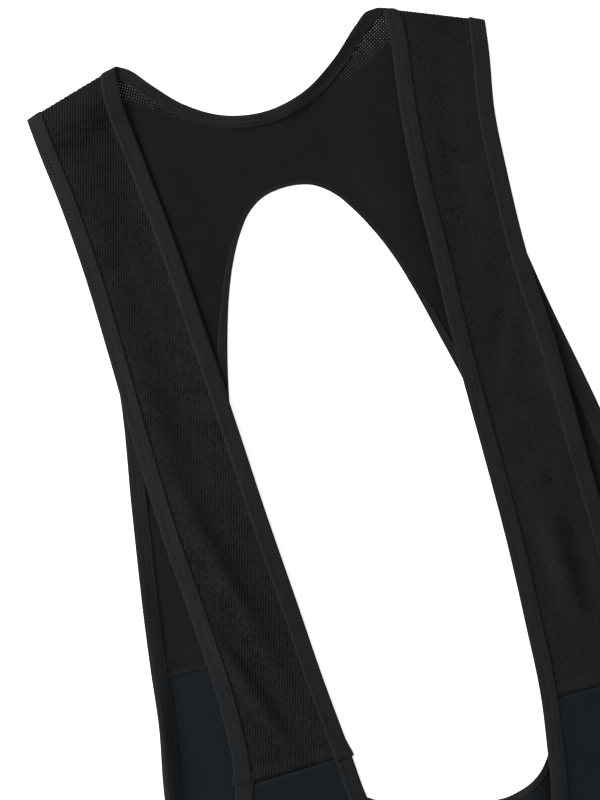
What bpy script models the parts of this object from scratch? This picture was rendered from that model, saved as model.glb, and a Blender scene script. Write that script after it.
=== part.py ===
"""Cycling bib shorts, laid flat with the front up: mesh straps and back yoke, knit front, back and legs.

Two layers of cloth lie on each other. The back layer rests on z = 0 and the front layer lies on it. They turn
into each other at the shoulder folds, at the side seams and at the inseams. Each cut piece of cloth, and each
binding sewn round an edge, is a closed wall of its own. Left is -X, right is +X and the shoulders are at +Y.
Outlines are given in millimetres from the middle of the shoulders, as the garment's bound edges.
"""

import math
from collections import namedtuple

import bmesh
import bpy
import numpy as np

MM = 0.001

# Cloth and how it lies
PANEL_WALL = 1.2
BINDING_WALL = 1.7
BINDING_WIDTH = 8.9
NECKLINE_WIDTH = 7.0  # the same strip across the back
OPENING_WIDTH = 3.0
SEAM_GAP = 0.3
FRONT_HEIGHT = 2.0  # underside of the front layer above the surface
TURN_RADIUS = FRONT_HEIGHT / 2
TURN_INSET = TURN_RADIUS + BINDING_WALL / 2  # axis of a turn behind the outline
UNDERARM_EASE = 0.6  # the panels' corners kept this much lower under the arm, where the binding turns
SHOULDER_SEAM = 4.0  # strap cloth carried past the shoulder fold, down the back

# How finely an outline is followed
STEPS = 3  # stations in each span of a bib outline
BODY_STEPS = 2  # and of the body and legs
STRAP_COLUMNS = 5
BODY_COLUMNS = 6
TURN_ANGLES = tuple(math.radians(a) for a in (0, 36, 72, 108, 144, 180))
EDGE_ANGLES = tuple(math.radians(a) for a in (0, 45, 90))
SHARP_ANGLE = math.radians(50)  # faces that meet at more than this keep a hard edge

# The front, from the shoulder fold down: the neck edge and the armhole edge
Front = namedtuple("Front", "neck_x neck_y arm_x arm_y")
LEFT_STRAP = (
    Front(-72.6, 4.5, -126.4, -9.8),
    Front(-74, -14, -125, -28),
    Front(-71.5, -47, -121.7, -60),
    Front(-67.5, -95, -119.5, -100),
    Front(-65, -142, -119, -142),
    Front(-62.3, -204, -119, -204),
    Front(-60.5, -250, -118, -250),
    Front(-57.8, -300, -115, -300),
    Front(-55.5, -345, -113.5, -345),
    Front(-52.2, -388, -117.5, -388),
)
RIGHT_STRAP = (
    Front(75.2, -5, 126.6, -25.8),
    Front(74, -24, 124.1, -43),
    Front(69.5, -56, 118.1, -75),
    Front(65.5, -97, 115.5, -108),
    Front(64, -142, 113.7, -150),
    Front(61.5, -204, 115, -204),
    Front(61, -250, 115, -250),
    Front(60, -300, 115, -300),
    Front(57.6, -345, 115.5, -345),
    Front(54.3, -389, 118, -389),
)
BIB = (  # the same on both sides, below the straps' seam
    Front(50.5, -412, 126, -411),
    Front(45, -440, 137, -430),
    Front(36, -463, 151, -443.5),
    Front(20, -483, 164, -450.5),
    Front(0, -491, 176, -452),
)

# The back armhole edge, from the shoulder fold to the side seam
Edge = namedtuple("Edge", "x y")
LEFT_BACK_ARM = (
    Edge(-126.4, -9.8),
    Edge(-117.5, -60),
    Edge(-115, -115),
    Edge(-119, -170),
    Edge(-130, -228),
    Edge(-144.1, -315),
)
RIGHT_BACK_ARM = (
    Edge(126.6, -25.8),
    Edge(114, -70),
    Edge(110.5, -115),
    Edge(115.9, -168),
    Edge(126, -228),
    Edge(141, -315),
)
LOWER_BACK_ARM = (  # the same on both sides, below the yoke's seam
    Edge(148, -345),
    Edge(154.7, -377),
    Edge(158.5, -400),
    Edge(161.5, -417),
    Edge(164.5, -431),
    Edge(169, -443.5),
    Edge(176, -452),
)

# The back neckline, from the left shoulder fold to the right one
NECKLINE = (
    Edge(-72.6, 4.5),
    Edge(-57, -10.6),
    Edge(-43.2, -25.4),
    Edge(-22.6, -37.9),
    Edge(-1, -41.9),
    Edge(19.2, -38.4),
    Edge(42.2, -24.8),
    Edge(58.6, -10.6),
    Edge(75.2, -5),
)

# The opening in the back, from its top down to the yoke's seam, and on to its lowest point
LEFT_ARCH = (
    Edge(5, -84.3),
    Edge(-5, -83.7),
    Edge(-15.2, -85.6),
    Edge(-24.3, -91.2),
    Edge(-32, -100.5),
    Edge(-40, -114.3),
    Edge(-47, -130.5),
    Edge(-53.5, -150),
    Edge(-62.3, -183.5),
    Edge(-71, -240),
    Edge(-75, -315),
)
RIGHT_ARCH = (
    Edge(5, -84.3),
    Edge(11, -85.9),
    Edge(16.8, -89.3),
    Edge(23, -95),
    Edge(30, -105.2),
    Edge(37, -118.5),
    Edge(44, -136),
    Edge(49, -153.5),
    Edge(55.9, -183.6),
    Edge(67.5, -240),
    Edge(74, -315),
)
LEFT_LOWER_OPENING = (
    Edge(-75.5, -345),
    Edge(-74, -370),
    Edge(-69, -391),
    Edge(-59, -406.5),
    Edge(-45.5, -416.2),
    Edge(-24, -424.5),
    Edge(0, -430),
)
RIGHT_LOWER_OPENING = (
    Edge(74.5, -345),
    Edge(72.5, -371),
    Edge(66.5, -394),
    Edge(56.5, -411),
    Edge(42.7, -426),
    Edge(24, -433.8),
    Edge(0, -430),
)

# Body and legs, the same on both sides and in both layers: the centre seam or inseam, and the side seam
Body = namedtuple("Body", "inner_x inner_y side_x side_y")
BODY = (
    Body(0, -540, 170.5, -515),
    Body(0, -590, 173, -585),
    Body(0, -640, 180, -645),
    Body(1.5, -645, 180.6, -650),
    Body(8, -685, 184, -690),
    Body(13, -750, 188, -760),
    Body(20, -858, 192, -852),
)
FRONT_TOP = Body(0, -491, 176, -452)
BACK_TOP = Body(0, -430, 176, -452)
CROTCH_ROWS = 4  # spans of the body from the opening to just below the crotch

# Soft ridges where the front layer stands off the back one
Ridge = namedtuple("Ridge", "x0 y0 x1 y1 width height")
RIDGES = (
    Ridge(-68, -30, -60, -232, 24, 1.4),
    Ridge(70, -34, 58, -240, 26, 1.8),
    Ridge(-104, -226, -76, -332, 15, 2.1),
    Ridge(-111, -300, -82, -374, 13, 1.8),
    Ridge(82, -262, 88, -356, 12, 1.7),
    Ridge(108, -250, 105, -332, 10, 1.1),
    Ridge(76, -196, 100, -120, 14, 0.6),
    Ridge(-10, -622, -96, -566, 15, 1.4),
    Ridge(12, -626, 88, -584, 13, 1.2),
    Ridge(-16, -668, -118, -640, 14, 1.0),
    Ridge(18, -672, 106, -664, 15, 1.2),
    Ridge(-52, -742, -160, -716, 13, 0.9),
    Ridge(46, -778, 150, -752, 14, 0.8),
    Ridge(-60, -512, -132, -486, 16, 0.8),
    Ridge(58, -530, 140, -508, 15, 0.7),
)
# Where both layers bulge beside a shoulder fold
Puff = namedtuple("Puff", "x y radius height")
PUFFS = (
    Puff(-76, -4, 46, 1.6),
    Puff(79, -13, 50, 2.0),
)

Finish = namedtuple("Finish", "colour roughness")
MESH_CLOTH = Finish((0.0085, 0.0092, 0.0098, 1), 0.86)
YOKE_CLOTH = Finish((0.0098, 0.0102, 0.0108, 1), 0.88)
KNIT_CLOTH = Finish((0.0092, 0.0122, 0.0145, 1), 0.72)
BINDING_CLOTH = Finish((0.0142, 0.0160, 0.0172, 1), 0.78)

FRONT, BACK = 0.0, math.pi  # angle round a turn: the front layer faces up and the back one down


def sampled(points, steps, closed=False, before=None, after=None):
    """Points along one smooth curve through the given ones, with this many steps in each span."""
    points = np.array(points, float)
    first = [points[-1]] if closed else [2 * points[0] - points[1] if before is None else before]
    last = [points[0], points[1]] if closed else [2 * points[-1] - points[-2] if after is None else after]
    knots = np.vstack([first, points, last])
    chords = np.linalg.norm(np.diff(knots, axis=0), axis=1)[:, None]
    slopes = np.diff(knots, axis=0) / chords
    tangents = (chords[:-1] * slopes[1:] + chords[1:] * slopes[:-1]) / (chords[:-1] + chords[1:])
    found = []
    for i in range(len(points) - (0 if closed else 1)):
        start, end, chord = knots[i + 1], knots[i + 2], chords[i + 1]
        for t in np.arange(steps) / steps:
            found.append(
                (2 * t**3 - 3 * t**2 + 1) * start
                + (t**3 - 2 * t**2 + t) * chord * tangents[i]
                + (3 * t**2 - 2 * t**3) * end
                + (t**3 - t**2) * chord * tangents[i + 1]
            )
    return np.array(found if closed else found + [points[-1]])


def inset(line, distance, side, closed=False):
    """The line moved sideways: side is 1 to the left of its direction and -1 to the right."""
    if closed:
        along = np.roll(line, -1, axis=0) - np.roll(line, 1, axis=0)
    else:
        along = np.gradient(line, axis=0)
    along /= np.linalg.norm(along, axis=1)[:, None]
    return line + side * distance * np.column_stack([-along[:, 1], along[:, 0]])


def mirrored(rows):
    """Table rows with every x turned to the other side."""
    kind = type(rows[0])
    signs = [-1 if name.endswith("x") else 1 for name in kind._fields]
    return [kind(*(sign * value for sign, value in zip(signs, row))) for row in rows]


def lift(x, y, angle):
    """How far the cloth stands above where it would lie flat."""
    height = 0.0
    for puff in PUFFS:
        reach = math.hypot(x - puff.x, y - puff.y) / puff.radius
        if reach < 1:
            height += puff.height * math.cos(reach * math.pi / 2) ** 2
    if angle != FRONT:
        return height
    for ridge in RIDGES:
        run = np.array([ridge.x1 - ridge.x0, ridge.y1 - ridge.y0], float)
        length = np.linalg.norm(run)
        run /= length
        offset = np.array([x - ridge.x0, y - ridge.y0])
        along = offset @ run / length
        aside = abs(offset[0] * run[1] - offset[1] * run[0]) / ridge.width
        if 0 < along < 1 and aside < 1:
            height += ridge.height * math.sin(along * math.pi) * math.cos(aside * math.pi / 2) ** 2
    return height


def layer_height(wall, angle):
    """The middle of a wall above the surface, at an angle round a turn."""
    return wall / 2 + TURN_RADIUS + TURN_RADIUS * math.cos(angle)


def laid(plan, wall, angle):
    """A row of cloth that lies flat in a layer: its middle points and its outward normals."""
    height = layer_height(wall, angle)
    points = [(x, y, height + lift(x, y, angle)) for x, y in plan]
    return points, [(0, 0, math.cos(angle))] * len(points)


def turned(plan, outward, wall, angle):
    """A row of cloth that runs along a fold, at an angle round the fold's axis."""
    height = layer_height(wall, angle)
    reach = TURN_RADIUS * math.sin(angle) - TURN_INSET
    points = [(x + reach * outward[0], y + reach * outward[1], height + lift(x, y, BACK)) for x, y in plan]
    normal = (math.sin(angle) * outward[0], math.sin(angle) * outward[1], math.cos(angle))
    return points, [normal] * len(points)


def across(start, end, columns):
    """Evenly spaced points from one edge of a row to the other."""
    return [start + (end - start) * share for share in np.linspace(0, 1, columns + 1)]


def fold_frame(neck_corner, arm_corner):
    """The direction along a shoulder fold, from neck to armhole, and the one out of it."""
    along = np.array(arm_corner, float) - neck_corner
    along /= np.linalg.norm(along)
    outward = np.array([-along[1], along[0]])
    return along, outward if outward[1] > 0 else -outward


def wall_mesh(name, rows, wall, closed=False):
    """A closed wall of even thickness round the middle surface that the rows give."""
    points = np.array([row[0] for row in rows], float)
    normals = np.array([row[1] for row in rows], float)
    count, width = points.shape[:2]
    mesh = bmesh.new()
    sides = []
    for sign in (1, -1):
        skin = points + sign * normals * wall / 2
        sides.append([[mesh.verts.new(p * MM) for p in row] for row in skin])
    spans = range(count) if closed else range(count - 1)
    for i in spans:
        j = (i + 1) % count
        for k in range(width - 1):
            for side in sides:
                mesh.faces.new((side[i][k], side[j][k], side[j][k + 1], side[i][k + 1]))
        for k in (0, width - 1):
            mesh.faces.new((sides[0][i][k], sides[0][j][k], sides[1][j][k], sides[1][i][k]))
    if not closed:
        for i in (0, count - 1):
            for k in range(width - 1):
                mesh.faces.new((sides[0][i][k], sides[0][i][k + 1], sides[1][i][k + 1], sides[1][i][k]))
    bmesh.ops.recalc_face_normals(mesh, faces=mesh.faces)
    data = bpy.data.meshes.new(name)
    mesh.to_mesh(data)
    mesh.free()
    return data


def cloth_object(name, rows, wall, finish, closed=False):
    """One piece of the garment as a named object with its own material."""
    data = wall_mesh(name, rows, wall, closed)
    material = bpy.data.materials.new(name)
    material.use_nodes = True
    shader = material.node_tree.nodes["Principled BSDF"]
    shader.inputs["Base Color"].default_value = finish.colour
    shader.inputs["Roughness"].default_value = finish.roughness
    shader.inputs["Metallic"].default_value = 0.0
    data.materials.append(material)
    data.shade_smooth()
    data.set_sharp_from_angle(angle=SHARP_ANGLE)
    piece = bpy.data.objects.new(name, data)
    bpy.context.scene.collection.objects.link(piece)
    return piece


class Side:
    """The outlines of one half of the garment, each sampled once so that neighbours share their stations."""

    def __init__(self, sign, strap, back_arm, arch, lower_opening):
        self.sign = sign
        self.suffix = "left" if sign < 0 else "right"
        same = mirrored if sign < 0 else list
        front = list(strap) + same(BIB)
        self.seam = (len(strap) - 1) * STEPS
        past_side = (sign * (2 * BIB[-1].arm_x - BIB[-2].arm_x), BIB[-2].arm_y)
        self.front_arm = sampled([(r.arm_x, r.arm_y) for r in front], STEPS, after=past_side)
        past_centre = (-front[-2].neck_x, front[-2].neck_y)
        self.front_neck = sampled([(r.neck_x, r.neck_y) for r in front], STEPS, after=past_centre)
        lower_arm = same(LOWER_BACK_ARM)
        past_back = (2 * lower_arm[-1].x - lower_arm[-2].x, lower_arm[-2].y)
        self.back_arm = sampled(list(back_arm) + lower_arm, STEPS, after=past_back)
        self.back_seam = (len(back_arm) - 1) * STEPS
        self.arch = list(arch)
        self.lower_opening = list(lower_opening)
        self.neck_corner = np.array([strap[0].neck_x, strap[0].neck_y], float)
        self.arm_corner = np.array([strap[0].arm_x, strap[0].arm_y], float)
        self.fold_along, self.fold_out = fold_frame(self.neck_corner, self.arm_corner)

    def inside(self, line, distance, edge):
        """A downward outline moved into its cloth, which lies outside the neck and inside the arm edge."""
        return inset(line, distance, self.sign if edge == "neck" else -self.sign)


def opening_ring(left, right):
    """The closed outline of the back opening: down the right side and up the left."""
    down = right.arch + right.lower_opening
    up = (left.arch[1:] + left.lower_opening[:-1])[::-1]
    return sampled(down + up, STEPS, closed=True)


def strap_mesh(side):
    """A front strap, from its seam up over the shoulder fold and a little way down the back."""
    margin = BINDING_WIDTH + SEAM_GAP
    neck = side.inside(side.front_neck, margin, "neck")[: side.seam + 1][::-1]
    arm = side.inside(side.front_arm, margin, "arm")[: side.seam + 1][::-1]
    neck[0, 1] += SEAM_GAP / 2
    arm[0, 1] += SEAM_GAP / 2
    rows = [laid(across(a, b, STRAP_COLUMNS), PANEL_WALL, FRONT) for a, b in zip(neck[:-1], arm[:-1])]
    fold = across(
        side.neck_corner + margin * side.fold_along, side.arm_corner - margin * side.fold_along, STRAP_COLUMNS
    )
    rows += [turned(fold, side.fold_out, PANEL_WALL, angle) for angle in TURN_ANGLES]
    rows.append(laid([p - SHOULDER_SEAM * side.fold_out for p in fold], PANEL_WALL, BACK))
    return cloth_object(f"strap_mesh_{side.suffix}", rows, PANEL_WALL, MESH_CLOTH)


def yoke_half(side, ring_inside, neckline_inside):
    """Rows of one half of the back yoke, from its seam up to the top of the opening."""
    margin = BINDING_WIDTH + SEAM_GAP
    arm = side.inside(side.back_arm, margin, "arm")[: side.back_seam + 1][::-1]
    arm[0, 1] += SEAM_GAP / 2
    behind = -(SHOULDER_SEAM + SEAM_GAP) * side.fold_out
    arm[-1] = side.arm_corner - margin * side.fold_along + behind
    shoulder = across(arm[-1], side.neck_corner + margin * side.fold_along + behind, STEPS)[1:-1]
    neckline_inside[0] = side.neck_corner + margin * side.fold_along + behind
    edge = list(arm) + list(shoulder) + list(neckline_inside)
    opening = ring_inside[: len(edge)][::-1].copy()
    opening[0, 1] += SEAM_GAP / 2
    return [laid(across(a, b, STRAP_COLUMNS), PANEL_WALL, BACK) for a, b in zip(opening, edge)]


def back_yoke(left, right, ring, neckline):
    """The one mesh piece across the back: both back straps and the bridge between neckline and opening."""
    ring_inside = inset(ring, OPENING_WIDTH + SEAM_GAP, 1, closed=True)
    neck_inside = inset(neckline, NECKLINE_WIDTH + SEAM_GAP, -1)
    half = len(neckline) // 2
    right_rows = yoke_half(right, ring_inside, neck_inside[half:][::-1].copy())
    left_ring = np.roll(ring_inside[::-1], 1, axis=0)
    left_rows = yoke_half(left, left_ring, neck_inside[: half + 1].copy())
    rows = left_rows + right_rows[::-1][1:]
    return cloth_object("back_yoke_mesh", rows, PANEL_WALL, YOKE_CLOTH)


def seam_edge(point, outward, angle):
    """Points and normals that turn a panel's edge to its seam with the other layer."""
    facing = math.cos(angle)  # the seam's gap lies half above and half below the middle of the turn
    radius = TURN_RADIUS - SEAM_GAP / 2
    middle = PANEL_WALL / 2 + TURN_RADIUS
    found = []
    for a in EDGE_ANGLES:
        x = point[0] + outward * (radius * math.sin(a) - TURN_INSET)
        z = middle + facing * (SEAM_GAP / 2 + radius * math.cos(a))
        found.append(((x, point[1], z), (outward * math.sin(a), 0, facing * math.cos(a))))
    return found


def flat_edge(point, towards, angle):
    """As many points and normals as a seam's edge has, on a panel that lies flat there."""
    step = (towards - point) / np.linalg.norm(towards - point)
    radius = TURN_RADIUS - SEAM_GAP / 2
    plan = [point + step * radius * (1 - math.sin(a)) for a in EDGE_ANGLES]
    return list(zip(*laid(plan, PANEL_WALL, angle)))


def panel_row(inner_edge, outer_edge, angle):
    """A row of a body panel, from its inner edge over the flat to its outer edge."""
    start = np.array(inner_edge[0][0][:2])
    end = np.array(outer_edge[0][0][:2])
    field = list(zip(*laid(across(start, end, BODY_COLUMNS)[1:-1], PANEL_WALL, angle)))
    cells = inner_edge[::-1] + field + outer_edge
    return [point for point, normal in cells], [normal for point, normal in cells]


def body_panel(side, name, angle, top_inner, top_outer, body):
    """A front or back panel with its leg. Its top rows end at the bindings and the rest at the seams."""
    sign = side.sign
    top_width = BINDING_WIDTH if angle == FRONT else OPENING_WIDTH
    top_inner[0, 1] -= SEAM_GAP / 2
    top_outer[0, 1] -= SEAM_GAP / 2
    rows = []
    for inner, outer in zip(top_inner[:-1], top_outer[:-1]):
        rows.append(panel_row(flat_edge(inner, outer, angle), flat_edge(outer, inner, angle), angle))
    centre = [(sign * row.inner_x, row.inner_y) for row in body]
    seam = sampled(centre[:CROTCH_ROWS], BODY_STEPS)
    seam[:, 0] = sign * SEAM_GAP / 2
    seam[0, 1] -= top_width + SEAM_GAP
    inseam = sampled(centre[CROTCH_ROWS - 1 :], BODY_STEPS)[1:]
    side_seam = sampled([(sign * row.side_x, row.side_y) for row in body], BODY_STEPS)
    side_seam[0, 1] -= BINDING_WIDTH + SEAM_GAP + UNDERARM_EASE
    for inner, outer in zip(seam, side_seam):
        rows.append(panel_row(flat_edge(inner, outer, angle), seam_edge(outer, sign, angle), angle))
    for inner, outer in zip(inseam, side_seam[len(seam) :]):
        rows.append(panel_row(seam_edge(inner, -sign, angle), seam_edge(outer, sign, angle), angle))
    return cloth_object(name, rows, PANEL_WALL, KNIT_CLOTH)


def front_panel(side):
    """One half of the knit front with its leg."""
    margin = BINDING_WIDTH + SEAM_GAP
    inner = side.inside(side.front_neck, margin, "neck")[side.seam :]
    outer = side.inside(side.front_arm, margin, "arm")[side.seam :]
    return body_panel(side, f"front_{side.suffix}", FRONT, inner, outer, (FRONT_TOP, *BODY))


def back_panel(side, ring):
    """One half of the knit back with its leg."""
    first = (len(side.arch) - 1) * STEPS
    half = inset(ring, OPENING_WIDTH + SEAM_GAP, 1, closed=True)
    if side.sign < 0:
        half = np.roll(half[::-1], 1, axis=0)
    inner = half[first : first + len(side.lower_opening) * STEPS + 1].copy()
    outer = side.inside(side.back_arm, BINDING_WIDTH + SEAM_GAP, "arm")[side.back_seam :]
    return body_panel(side, f"back_{side.suffix}", BACK, inner, outer, (BACK_TOP, *BODY))


def bound(line, inner, angle):
    """Rows of binding that lies flat, from a bound edge to the cloth's side of the strip."""
    return [laid((edge, (edge + cloth) / 2, cloth), BINDING_WALL, angle) for edge, cloth in zip(line, inner)]


def bound_turn(corner, inward, outward, angles):
    """Rows of binding round a fold: the strip's width lies along the fold."""
    plan = [corner + inward * BINDING_WIDTH * share for share in (0, 0.5, 1)]
    return [turned(plan, outward, BINDING_WALL, angle) for angle in angles]


def kept_apart(rows):
    """The rows with the last one drawn back, so that a strip's two ends keep a seam's gap."""
    points, normals = rows[-1]
    return rows[:-1] + [([(x, y - SEAM_GAP, z) for x, y, z in points], normals)]


def neck_binding(left, right, neckline):
    """One strip round the neck opening. Its ends meet at the left strap's seam."""
    rows = []
    left_edge, right_edge = left.front_neck, right.front_neck
    left_inner = left.inside(left_edge, BINDING_WIDTH, "neck")
    right_inner = right.inside(right_edge, BINDING_WIDTH, "neck")
    up_left = slice(left.seam, 0, -1)
    rows += bound(left_edge[up_left], left_inner[up_left], FRONT)
    rows += bound_turn(left.neck_corner, left.fold_along, left.fold_out, TURN_ANGLES)
    neck_inner = inset(neckline, NECKLINE_WIDTH, -1)
    rows += bound(neckline[1:-1], neck_inner[1:-1], BACK)
    rows += bound_turn(right.neck_corner, right.fold_along, right.fold_out, TURN_ANGLES[::-1])
    rows += bound(right_edge[1:], right_inner[1:], FRONT)
    up_bib = slice(len(left_edge) - 2, left.seam - 1, -1)
    rows += bound(left_edge[up_bib], left_inner[up_bib], FRONT)
    return cloth_object("neck_binding", kept_apart(rows), BINDING_WALL, BINDING_CLOTH)


def armhole_binding(side):
    """One strip round an armhole, over the shoulder and under the arm. Its ends meet at the strap's seam."""
    front, back = side.front_arm, side.back_arm
    front_inner = side.inside(front, BINDING_WIDTH, "arm")
    back_inner = side.inside(back, BINDING_WIDTH, "arm")
    up = slice(side.seam, 0, -1)
    rows = bound(front[up], front_inner[up], FRONT)
    rows += bound_turn(side.arm_corner, -side.fold_along, side.fold_out, TURN_ANGLES)
    rows += bound(back[1:-1], back_inner[1:-1], BACK)
    down, outward = np.array([0.0, -1.0]), np.array([side.sign, 0.0])
    rows += bound_turn(front[-1], down, outward, TURN_ANGLES[::-1])
    up_bib = slice(len(front) - 2, side.seam - 1, -1)
    rows += bound(front[up_bib], front_inner[up_bib], FRONT)
    name = f"armhole_binding_{side.suffix}"
    return cloth_object(name, kept_apart(rows), BINDING_WALL, BINDING_CLOTH)


def back_opening_binding(ring):
    """The closed strip round the opening in the back."""
    rows = bound(ring, inset(ring, OPENING_WIDTH, 1, closed=True), BACK)
    return cloth_object("back_opening_binding", rows, BINDING_WALL, BINDING_CLOTH, closed=True)


def centre_on_origin(pieces):
    """Moves every mesh so that the middle of the garment's footprint is the origin."""
    corners = np.array([v.co[:] for piece in pieces for v in piece.data.vertices])
    middle = (corners.min(axis=0) + corners.max(axis=0)) / 2
    for piece in pieces:
        for vertex in piece.data.vertices:
            vertex.co.x -= middle[0]
            vertex.co.y -= middle[1]


def main():
    for thing in list(bpy.data.objects):
        bpy.data.objects.remove(thing, do_unlink=True)
    left = Side(-1, LEFT_STRAP, LEFT_BACK_ARM, LEFT_ARCH, LEFT_LOWER_OPENING)
    right = Side(1, RIGHT_STRAP, RIGHT_BACK_ARM, RIGHT_ARCH, RIGHT_LOWER_OPENING)
    ring = opening_ring(left, right)
    neckline = sampled(NECKLINE, STEPS)
    pieces = [back_yoke(left, right, ring, neckline)]
    for side in (left, right):
        pieces += [strap_mesh(side), front_panel(side), back_panel(side, ring), armhole_binding(side)]
    pieces += [neck_binding(left, right, neckline), back_opening_binding(ring)]
    centre_on_origin(pieces)


main()
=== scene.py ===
"""Cycling bib shorts laid flat with the front up: mesh straps and back yoke, knit front, back and legs.

The cloth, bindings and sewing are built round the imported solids. Lengths are in millimetres in the tables
and functions, measured from the middle of the shoulders. They become metres in the frame when a mesh is
made.
"""

import math
from collections import namedtuple

import bmesh
import bpy
import numpy as np
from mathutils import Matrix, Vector


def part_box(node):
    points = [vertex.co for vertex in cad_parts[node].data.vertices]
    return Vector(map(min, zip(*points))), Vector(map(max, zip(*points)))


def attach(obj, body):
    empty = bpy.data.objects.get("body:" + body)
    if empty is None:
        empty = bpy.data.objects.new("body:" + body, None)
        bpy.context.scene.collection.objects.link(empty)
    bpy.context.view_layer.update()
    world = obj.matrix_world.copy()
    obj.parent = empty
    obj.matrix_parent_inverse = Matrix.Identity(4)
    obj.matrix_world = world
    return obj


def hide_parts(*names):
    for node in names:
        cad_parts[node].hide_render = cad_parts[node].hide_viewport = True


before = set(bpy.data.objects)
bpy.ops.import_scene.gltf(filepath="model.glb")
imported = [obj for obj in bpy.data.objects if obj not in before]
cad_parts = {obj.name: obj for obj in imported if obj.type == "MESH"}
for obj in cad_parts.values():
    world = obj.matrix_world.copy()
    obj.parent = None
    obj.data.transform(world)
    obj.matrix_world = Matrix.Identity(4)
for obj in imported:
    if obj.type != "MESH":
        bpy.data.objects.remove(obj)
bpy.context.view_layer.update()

bl_info = {
    "name": "Cycling bib shorts",
    "version": (1, 0, 0),
    "blender": (4, 5, 0),
    "location": "View3D > Sidebar > Bib shorts",
    "description": "Builds a pair of cycling bib shorts laid flat, with its net, knit, bindings and sewing",
    "category": "Add Mesh",
}

MM = 0.001

# How the two layers lie, as in the solids
PANEL_WALL = 1.2
BINDING_WALL = 1.7
BINDING_WIDTH = 8.9
NECKLINE_WIDTH = 7.0  # the same strip across the back
SEAM_GAP = 0.3
TURN_RADIUS = 1.0
TURN_INSET = TURN_RADIUS + BINDING_WALL / 2  # axis of a turn behind the outline
FRONT, BACK = 0.0, math.pi  # angle round a turn: the front layer faces up and the back one down

SPAN_STEPS = 24  # points in each span of a table's curve
TUCK = 3.0  # cloth that reaches in under a binding
RIM = BINDING_WIDTH - TUCK  # where cloth ends, from the bound edge
SHOULDER_SEAM = 2.8  # strap net carried past the shoulder fold, down the back
PAST_FOLD = 1.5  # the same way: where the strap's pits end and the yoke's holes start
CORNER_TUCK = 2.0  # the yoke's net past the strap, beside each shoulder

# The front, from the shoulder fold down: the neck edge and the armhole edge
Front = namedtuple("Front", "neck_x neck_y arm_x arm_y")
LEFT_STRAP = (
    Front(-72.6, 4.5, -126.4, -9.8),
    Front(-74, -14, -125, -28),
    Front(-71.5, -47, -121.7, -60),
    Front(-67.5, -95, -119.5, -100),
    Front(-65, -142, -119, -142),
    Front(-62.3, -204, -119, -204),
    Front(-60.5, -250, -118, -250),
    Front(-57.8, -300, -115, -300),
    Front(-55.5, -345, -113.5, -345),
    Front(-52.2, -388, -117.5, -388),
)
RIGHT_STRAP = (
    Front(75.2, -5.0, 126.6, -25.8),
    Front(74, -24, 124.1, -43),
    Front(69.5, -56, 118.1, -75),
    Front(65.5, -97, 115.5, -108),
    Front(64, -142, 113.7, -150),
    Front(61.5, -204, 115, -204),
    Front(61, -250, 115, -250),
    Front(60, -300, 115, -300),
    Front(57.6, -345, 115.5, -345),
    Front(54.3, -389, 118, -389),
)
BIB = (  # the same on both sides, below the straps' seam
    Front(50.5, -412, 126, -411),
    Front(45, -440, 137, -430),
    Front(36, -463, 151, -443.5),
    Front(20, -483, 164, -450.5),
    Front(0, -491, 176, -452),
)

# The back armhole edge, from the shoulder fold to the side seam
Edge = namedtuple("Edge", "x y")
LEFT_BACK_ARM = (
    Edge(-126.4, -9.8),
    Edge(-117.5, -60),
    Edge(-115, -115),
    Edge(-119.6, -170),
    Edge(-130, -228),
    Edge(-144.1, -315),
)
RIGHT_BACK_ARM = (
    Edge(126.6, -25.8),
    Edge(114, -70),
    Edge(110.5, -115),
    Edge(115.9, -168),
    Edge(126, -228),
    Edge(141, -315),
)
LOWER_BACK_ARM = (  # the same on both sides, below the yoke's seam
    Edge(148, -345),
    Edge(154.7, -377),
    Edge(158.5, -400),
    Edge(161.5, -417),
    Edge(164.5, -431),
    Edge(169, -443.5),
    Edge(176, -452),
)

# The back neckline, from the left shoulder fold to the right one
NECKLINE = (
    Edge(-72.6, 4.5),
    Edge(-66.9, 1.4),
    Edge(-57, -10.0),
    Edge(-43.2, -24.7),
    Edge(-22.6, -37.2),
    Edge(-1, -41.2),
    Edge(19.2, -37.7),
    Edge(42.2, -24.3),
    Edge(58.6, -10.1),
    Edge(65.8, -4.9),
    Edge(75.2, -5.0),
)

# The opening in the back, from its top down to the yoke's seam, and on to its lowest point
LEFT_ARCH = (
    Edge(5, -84.3),
    Edge(-5, -83.7),
    Edge(-15.2, -85.6),
    Edge(-24.3, -91.2),
    Edge(-32, -100.5),
    Edge(-40, -114.3),
    Edge(-47, -130.5),
    Edge(-53.5, -150),
    Edge(-62.3, -183.5),
    Edge(-71, -240),
    Edge(-75, -315),
)
RIGHT_ARCH = (
    Edge(5, -84.3),
    Edge(11, -85.9),
    Edge(16.8, -89.3),
    Edge(23, -95),
    Edge(30, -105.2),
    Edge(37, -118.5),
    Edge(44, -136),
    Edge(49, -153.5),
    Edge(55.9, -183.6),
    Edge(67.5, -240),
    Edge(74, -315),
)
LEFT_LOWER_OPENING = (
    Edge(-75.5, -345),
    Edge(-74, -370),
    Edge(-69, -391),
    Edge(-59, -406.5),
    Edge(-45.5, -416.2),
    Edge(-24, -424.5),
    Edge(0, -430),
)
RIGHT_LOWER_OPENING = (
    Edge(74.5, -345),
    Edge(72.5, -371),
    Edge(65.6, -394),
    Edge(54.6, -411),
    Edge(42.7, -425.6),
    Edge(24, -433.7),
    Edge(0, -430),
)

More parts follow.
